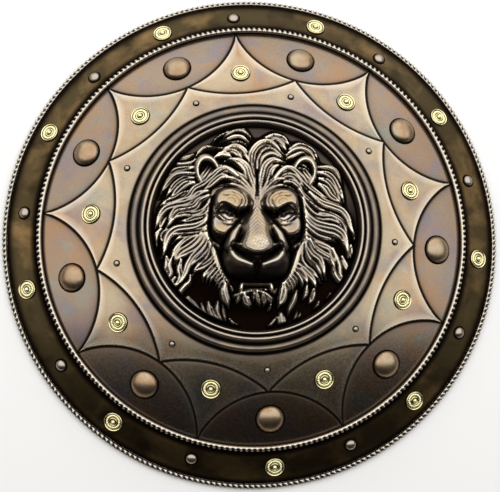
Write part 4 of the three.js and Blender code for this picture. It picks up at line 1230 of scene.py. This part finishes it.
FRONT = [
    ([(-2, 36), (-5, 45), (-9, 56), (-12, 66), (-20, 74), (-30, 77), (-39, 75)], 6.0, 34, 22, 3),
    ([(-3, 33), (-10, 44), (-17, 53), (-27, 60), (-36, 68), (-46, 70)], 5.4, 35, 22, 3),
    ([(-3, 29), (-10, 39), (-19, 48), (-30, 53), (-42, 53)], 5.0, 35.5, 27, 3),
    ([(-3, 25), (-9, 34), (-17, 41), (-28, 45.5), (-40, 46)], 4.4, 35.5, 26, 3),
    ([(2, 36), (5, 46), (8, 58), (11, 68), (19, 75.5), (29, 75), (39, 72.5)], 6.2, 34, 22, 3),
    ([(3, 33), (10, 44), (14, 55), (17, 64), (25, 69.5), (35, 68.5)], 5.4, 35, 23, 3),
    ([(3, 29), (10, 39), (18, 48), (27, 52.5), (38, 52)], 5.0, 35.5, 28, 3),
    ([(3, 25), (9, 34), (17, 41), (28, 45), (40, 44)], 4.4, 35.5, 26, 3),
]
# Fur tufts of the jaw, and the beard below them
TUFTS_LEFT = [
    ([(-48, -46), (-54, -54), (-60, -60), (-61, -68)], 3.6, 24, 17, 2),
    ([(-45, -50), (-51, -57), (-56, -63), (-58, -70)], 3.0, 25, 18, 1),
    ([(-43, -54), (-48, -60), (-52, -65), (-54, -71)], 2.8, 25.5, 18, 1),
    ([(-41, -58), (-46, -63.5), (-49, -69)], 2.6, 26, 19, 1),
    ([(-39, -62), (-44, -67), (-47, -73)], 2.6, 26, 19, 1),
    ([(-37, -66), (-41, -70), (-44, -77)], 2.6, 26, 19, 1),
    ([(-36, -70), (-37, -79), (-34.5, -88), (-31, -98)], 5.4, 26, 20, 1),
]
TUFTS_RIGHT = [
    ([(45, -50), (52, -56), (58, -64), (60, -72)], 4.0, 24, 17, 2),
    ([(43, -54), (49, -60), (53, -67), (54, -75)], 3.0, 25, 18, 1),
    ([(40, -58), (46, -64), (49, -71)], 2.8, 25.5, 18, 1),
    ([(38, -61), (43, -67), (46, -75)], 2.8, 26, 19, 1),
    ([(36, -64), (40, -70), (43, -79)], 2.8, 26, 19, 1),
    ([(33, -67), (37, -73), (39, -80)], 2.6, 26, 19, 1),
    ([(31, -70), (31.5, -79), (29.5, -88), (25.5, -97)], 5.6, 26, 20, 2),
]
CHIN = [
    ([(-19, -83), (-21, -88), (-23, -93)], 3.2, 22, 17, 1),
    ([(-14, -82), (-12, -89), (-7, -98)], 4.4, 26, 19, 1),
    ([(-9.5, -85), (-8, -91), (-4.5, -97)], 2.4, 25, 19, 1),
    ([(-2.5, -79), (-3, -84), (-3.5, -91)], 2.2, 26, 21, 1),
    ([(0.5, -80), (2, -88), (5, -96)], 3.0, 27, 20, 1),
    ([(7, -81), (9, -88), (8.5, -96)], 3.8, 26, 19, 1),
    ([(11.5, -83), (15.5, -88), (18, -94)], 2.8, 25, 18, 1),
    ([(17, -92), (16, -97), (12.5, -101)], 1.8, 18, 14, 1),
    ([(-30, -72), (-28, -76), (-26, -80)], 2.8, 21, 15, 1),
    ([(24, -75), (21.5, -79), (18.5, -82)], 2.6, 21, 15, 1),
]
BEARD = [
    ([(-79, -86), (-74, -93), (-67, -102), (-58, -112)], 6.2, 14, 11, 1),
    ([(-63, -92), (-60, -101), (-56, -108), (-51, -114)], 2.8, 15, 11, 1),
    ([(-55, -91), (-53, -101), (-49, -109), (-42, -116)], 4.2, 16, 11, 1),
    ([(-51, -97), (-48, -105), (-43, -112), (-36, -117)], 2.5, 16, 11, 1),
    ([(-44, -90), (-45, -100), (-42, -108), (-36, -115)], 3.5, 17, 11, 1),
    ([(-38.5, -94), (-37, -104), (-34, -115)], 2.5, 16, 11, 1),
    ([(-31, -109), (-25, -115), (-16, -119)], 2.2, 12, 10, 1),
    ([(47, -77), (44, -88), (39, -98), (37, -107)], 3.8, 17, 12, 1),
    ([(59, -71), (58, -80), (54, -88)], 3.0, 19, 15, 1),
    ([(67, -75), (66, -83), (61, -93)], 3.8, 17, 12, 2),
    ([(73, -89), (70, -98), (65, -104), (57, -108), (47, -114)], 3.2, 14, 10, 1),
    ([(87, -79), (83, -88), (78, -98)], 2.4, 12, 10, 1),
    ([(24, -107), (18, -115), (11, -120)], 2.5, 12, 10, 1),
    ([(29, -104), (30, -111), (33, -120)], 6.2, 13, 11, 1),
    ([(48, -101), (46, -107), (43, -112)], 2.0, 13, 10, 1),
    ([(52, -102), (50, -107), (47, -111)], 2.0, 13, 10, 1),
]


def mane_height(side, x, y):
    h = 6 * smooth_step(108, 84, np.hypot(x, y))
    lay_locks(h, x, y, OUTER_LEFT, OUTER_RIGHT, BEARD, INNER_LEFT, INNER_RIGHT, CROWN)
    return np.maximum(h, ear_form(side, y))


def lion_height(x, y):
    side = np.abs(x)
    head = carve_mouth(carve_eye(wrinkles(face_form(side, y), side, y), side, y), side, y)
    h = mane_height(side, x, y)
    outside = smooth_step(1.0, 1.06, ellipse(x, y, 0, -2, 54, 52))
    below = smooth_step(-20, -34, y) * smooth_step(1.0, 1.08, ellipse(x, y, 0, -38, 44, 36))
    h = h * np.maximum(outside, below)
    h = ridge(h, side, y, JAW_BAND, 3.7, 4, 1, 4)
    lay_locks(h, x, y, TUFTS_LEFT, TUFTS_RIGHT, CHIN)
    # The great forelocks are laid again, because they lie over the jaw and the forehead too
    lay_locks(h, x, y, INNER_LEFT[:2], INNER_RIGHT[:3])
    h = ridge(np.maximum(h, head), x, y, LOWER_LIP, 1.9, 5, 0.6)
    lay_locks(h, x, y, FRONT)
    along, off = nearest(FACE_EDGE, side, y)
    h = h - 9 * bell(off / 1.9) * smooth_step(0, 0.1, along) * smooth_step(1, 0.9, along)
    h = h - 6 * bell((x - 0.6) / 1.2) * smooth_step(32, 38, y) * smooth_step(64, 56, y)
    return np.maximum(h, 0) * smooth_step(FLOOR_RADIUS, FLOOR_RADIUS - 2, np.hypot(x, y))


def blurred(grid, spread):
    """Gaussian blur of a grid, by a few samples each way."""
    reach = int(3 * spread)
    weights = np.exp(-0.5 * (np.arange(-reach, reach + 1) / spread) ** 2)
    weights /= weights.sum()
    padded = np.pad(grid, reach, mode="edge")
    rows = sum(w * padded[i:i + grid.shape[0], :] for i, w in enumerate(weights))
    return sum(w * rows[:, i:i + grid.shape[1]] for i, w in enumerate(weights))


# Cells along each side of the square grid that is bent into the medallion's round floor
RELIEF_CELLS = 264


def disc_grid():
    """Points of a square grid bent into the floor's disc, and drawn closer towards its middle."""
    share = math.sqrt(2) * np.sin(np.linspace(-1, 1, RELIEF_CELLS + 1) * math.pi / 4)
    u, v = np.meshgrid(share, share, indexing="ij")
    x = FLOOR_RADIUS * u * np.sqrt(1 - v * v / 2)
    y = FLOOR_RADIUS * v * np.sqrt(1 - u * u / 2)
    closer = 0.86 + 0.14 * (x * x + y * y) / FLOOR_RADIUS ** 2
    return x * closer, y * closer


# Frame mouldings of the medallion, from the floor's edge outwards: radius, height and blackening, which
# is antiquing in the channels and painted shade on the walls
FRAME_PROFILE = [
    (120.4, 72.0, 1.0), (121.6, 72.6, 1.0), (123.4, 77.5, 0.75), (124.6, 80.6, 0.3),
    (125.4, 82.0, 0.0), (126.6, 82.6, 0.0), (127.6, 82.1, 0.1), (128.3, 80.4, 1.0),
    (129.4, 79.6, 1.0), (130.3, 80.4, 0.95), (131.0, 82.0, 0.25), (132.3, 82.8, 0.0),
    (133.8, 82.6, 0.25), (135.0, 81.4, 0.5), (136.0, 78.8, 0.9), (138.0, 75.4, 1.0),
    (140.2, 73.8, 0.95), (141.2, 74.2, 0.4), (143.0, 75.0, 0.2), (145.0, 74.3, 0.3),
    (146.4, 72.8, 0.5), (147.2, 71.0, 0.95), (148.4, 70.0, 1.0), (150.1, 69.6, 1.0),
]


class SHIELD_OT_medallion(bpy.types.Operator):
    """Models the lion medallion, a casting with turned mouldings"""

    bl_idname = "shield.medallion"
    bl_label = "Lion medallion"

    def execute(self, context):
        x, y = disc_grid()
        h = blurred(lion_height(x, y), 0.6)
        points = np.stack([x, y, FLOOR_HEIGHT + h], -1).reshape(-1, 3)
        index = np.arange(len(points)).reshape(x.shape)
        faces = np.stack([index[:-1, :-1], index[1:, :-1], index[1:, 1:], index[:-1, 1:]], -1)
        faces = faces.reshape(-1, 4).tolist()
        ring = np.concatenate([index[:-1, 0], index[-1, :-1], index[:0:-1, -1], index[0, :0:-1]])
        angle = np.arctan2(points[ring, 1], points[ring, 0])
        # The frame's foot rows on the plate are painted black as shade
        foot = ((150.1, dome_height(150.1)), (CENTRE_RADIUS + 4, dome_height(CENTRE_RADIUS + 4)),
                (CENTRE_RADIUS - 4, CENTRE_HEIGHT))
        turned_rings = [*FRAME_PROFILE, *((r, float(z) + CLEARANCE, 1.0) for r, z in foot)]
        grime_and_shade, polish_and_highlight, warmth = (mark.ravel() for mark in self.relief_finish(h, x, y))
        total = len(points)
        added = []
        frame_black_and_shade = []
        for r, z, black in turned_rings:
            row = np.arange(total, total + len(ring))
            added.append(np.stack([r * np.cos(angle), r * np.sin(angle), np.full(len(ring), z)], -1))
            faces += np.stack([ring, row, np.roll(row, -1), np.roll(ring, -1)], -1).tolist()
            frame_black_and_shade.append(np.full(len(ring), black))
            total += len(ring)
            ring = row
        added.append([[0, 0, CENTRE_HEIGHT + CLEARANCE]])
        frame_black_and_shade = np.append(np.concatenate(frame_black_and_shade), 0.5)
        faces += [(total, b, a) for a, b in zip(ring.tolist(), np.roll(ring, -1).tolist())]
        mesh = bpy.data.meshes.new("lion_medallion")
        mesh.from_pydata(np.vstack([points, *added]) * MM, [], faces)
        piece = new_object("lion_medallion_casting", mesh)
        paint(piece, "grime_and_shade", np.append(grime_and_shade, frame_black_and_shade))
        # Painted highlight on the frame's clean crests
        paint(piece, "polish_and_highlight", np.append(polish_and_highlight, 0.25 * (frame_black_and_shade == 0)))
        paint(piece, "warmth", np.append(warmth, np.zeros(len(frame_black_and_shade))))
        finish_piece(piece, "lion_medallion", "antiqued cast pewter", 60)
        return {"FINISHED"}

    def relief_finish(self, h, x, y):
        """Antiquing and painted shade in the hollows, rubbed wear and painted highlights on the ridges,
        painted light and shade on the eye, nose, teeth, lips and the tuft below the mouth, and the gilt
        wash on the face.
        """
        side = np.abs(x)
        # Both are above zero in hollows and below it on ridges
        fine = blurred(h, 1.8) - blurred(h, 0.7)
        broad = blurred(h, 6) - h
        face = smooth_step(1.05, 0.95, ellipse(x, y, 0, -4, 53, 62)) * smooth_step(45, 38, y)
        # Blackening in the hollows: antiquing and painted shade, the broad term darkening the deep
        # recesses between the locks
        grime_and_shade = 0.04 + (1.9 - 1.2 * face) * fine + (0.14 - 0.1 * face) * broad
        grime_and_shade = face * grime_and_shade + (1 - face) * smooth_step(0.0, 0.5, grime_and_shade)
        # Less blackening on the chin tuft, as a painted pool of light
        lit_chin = bell(ellipse(x, y, -2, -88, 22, 12) ** 4)
        grime_and_shade = grime_and_shade * (1 - 0.65 * lit_chin)
        # Painted shade on the low floor between the locks, darker towards the bottom
        floor = smooth_step(7.4, 6.2, h) * (0.75 + 0.25 * smooth_step(60, -10, y))
        grime_and_shade = np.maximum.reduce([grime_and_shade, floor, self.black_and_shaded_places(side, y) * (1 - lit_chin)])
        # Painted shade at the foot of the frame's wall
        grime_and_shade = np.maximum(grime_and_shade, 0.9 * smooth_step(116.5, 119, np.hypot(x, y)))
        # Painted shade filling the eye socket
        above = smooth_step(-0.5, 0.7, y - np.interp(side, *SOCKET_FOOT))
        socket = above * smooth_step(0.7, -0.5, y - np.interp(side, *SOCKET_TOP))
        socket = socket * (side > 8) * (side < 49)
        grime_and_shade = np.maximum(grime_and_shade, 0.96 * socket)
        # Bright ridges: rubbed wear and painted highlight, weaker on the face
        polish_and_highlight = np.clip(-0.8 * fine - 0.03 * broad, 0, 0.85) * (1 - 0.6 * face)
        mouth = np.maximum(side / MOUTH_HALF_WIDTH, np.abs(y - MOUTH_HEIGHT) / 6.6)
        # Painted highlight on the teeth
        teeth = smooth_step(1.1, 0.9, mouth) * (h > 17)
        pores = np.cos(1.7 * x + np.sin(y)) * np.cos(1.6 * y + np.sin(1.3 * x))
        # Painted highlight on the nose's end, with dark pores
        nose_end = bell(ellipse(x, y, 3, -26, 12, 8) ** 2)
        tip = nose_end * (0.4 + 0.5 * pores)
        grime_and_shade = grime_and_shade + 0.45 * nose_end * np.clip(-pores, 0, 1)
        # Painted highlights on the chin's hairs
        hairs = lit_chin * np.clip(0.1 - fine, 0, 0.7)
        polish_and_highlight = np.maximum.reduce([polish_and_highlight, 0.8 * teeth, 0.75 * tip, hairs])
        # Painted highlight along the lip rims
        polish_and_highlight = np.maximum(blurred(polish_and_highlight, 0.6), 0.4 * bell(nearest(LIP_RIM, side, y)[1] / 2.6))
        # Painted shade, shadows and highlights of the eye and brow
        for points, half_width, black, bright in EYE_SHADE_AND_HIGHLIGHTS:
            along, off = nearest(spline(points), side, y)
            ends = smooth_step(0, 0.04, along) * smooth_step(1, 0.96, along)
            laid = bell(off / half_width) * ends
            grime_and_shade = grime_and_shade + laid * (black - grime_and_shade)
            polish_and_highlight = polish_and_highlight + laid * (bright - polish_and_highlight)
        # Painted fur, with hairs drawn coarser than a real casting's so that they show
        ring = np.cos(2 * math.pi * ellipse(side, y, 30, 24, 12, 9, 12) * BROW_SPAN / 4.2)
        brow = bell(ellipse(side, y, 23, 30, 13, 10) ** 2) * smooth_step(4, 8, side)
        grime_and_shade = grime_and_shade + 0.5 * brow * np.clip(ring, 0, 1)
        fur = np.cos(2 * math.pi * (y + CHEVRON_SLOPE * side) / 4.6) * smooth_step(16, 11, side)
        grime_and_shade = grime_and_shade + 0.4 * fur * smooth_step(26, 18, y) * smooth_step(-22, -14, y)
        grime_and_shade = np.clip(grime_and_shade, 0, 1)
        warmth = bell(ellipse(side, y, 29, 28, 15, 11) ** 2) + bell(ellipse(side, y, 41, -8, 9, 6))
        warmth += 0.6 * bell(ellipse(side, y, 0, -12, 14, 24) ** 2)
        return grime_and_shade, polish_and_highlight * (1 - grime_and_shade), np.clip(0.8 * warmth, 0, 0.8)

    def black_and_shaded_places(self, side, y):
        """Where the blackening is laid solid, part antiquing and part painted shade: the eye corners,
        beneath the brows, the nose's sides, beneath the cheeks, the muzzle's downward front to the
        mouth, the crease round the face, and the beard, darker towards the bottom.
        """
        # Painted shade in the hollow at the eye's inner corner
        corner = 0.95 * bell(ellipse(side, y, 19, 10, 11, 5.2, -24) ** 3)
        brow_shade = 0.9 * bell((nearest(BROW_EDGE, side, y)[1] + 2.0) / 2.4)
        brow_shade = brow_shade * smooth_step(8, 12, side) * smooth_step(50, 46, side)
        along, off = nearest(NOSE_WEDGE, side, y)
        wedge = 0.9 * smooth_step(0, 0.3, along) * bell(off / (1.4 + 2.2 * along))
        cheek = 0.9 * bell(ellipse(side, y, 43, -19, 9, 5.2, 20) ** 3)
        along, off = nearest(LIP_RIM, side, y)
        # Painted shade on the muzzle's downward front, broken by the lip rims and lighter at its sides
        muzzle = smooth_step(-35.5, -38.5, y - NOSE_FOOT_CURVE * side ** 2) * smooth_step(-71, -68, y)
        muzzle = muzzle * smooth_step(1.04, 0.94, ellipse(side, y, 0, -42, 40, 33))
        muzzle = 0.93 * muzzle * (1 - bell(off / 2.6) * (side > 5))
        muzzle = muzzle * (1 - 0.45 * bell((side - 34) / 4) * smooth_step(-48, -40, y))
        edge = 0.9 * bell(nearest(FACE_EDGE, side, y)[1] / 2.0)
        # The beard darker towards the bottom
        beard = 0.3 * smooth_step(-70, -90, y)
        return np.maximum.reduce([corner, brow_shade, wedge, cheek, muzzle, edge, beard])


class SHIELD_PT_panel(bpy.types.Panel):
    """Lists the shield's pieces in the sidebar"""

    bl_idname = "SHIELD_PT_panel"
    bl_label = "Lion Parade Shield"
    bl_space_type = "VIEW_3D"
    bl_region_type = "UI"
    bl_category = "Shield"

    def draw(self, context):
        for operator in OPERATORS:
            self.layout.operator(operator.bl_idname)


OPERATORS = (
    SHIELD_OT_stage,
    SHIELD_OT_plate,
    SHIELD_OT_band,
    SHIELD_OT_ropes,
    SHIELD_OT_medallion,
    SHIELD_OT_bosses,
    SHIELD_OT_rosettes,
    SHIELD_OT_rivets,
    SHIELD_OT_straps,
)
CLASSES = (ShieldSizes, ShieldColours, *OPERATORS, SHIELD_PT_panel)


def register():
    for cls in CLASSES:
        bpy.utils.register_class(cls)
    bpy.types.Scene.shield_sizes = bpy.props.PointerProperty(type=ShieldSizes)
    bpy.types.Scene.shield_colours = bpy.props.PointerProperty(type=ShieldColours)


def unregister():
    del bpy.types.Scene.shield_colours
    del bpy.types.Scene.shield_sizes
    for cls in reversed(CLASSES):
        bpy.utils.unregister_class(cls)


def main():
    register()
    bpy.ops.shield.stage()
    bpy.ops.shield.plate()
    bpy.ops.shield.band()
    bpy.ops.shield.ropes()
    bpy.ops.shield.medallion()
    bpy.ops.shield.bosses()
    bpy.ops.shield.rosettes()
    bpy.ops.shield.rivets()
    bpy.ops.shield.straps()


if __name__ == "__main__":
    main()
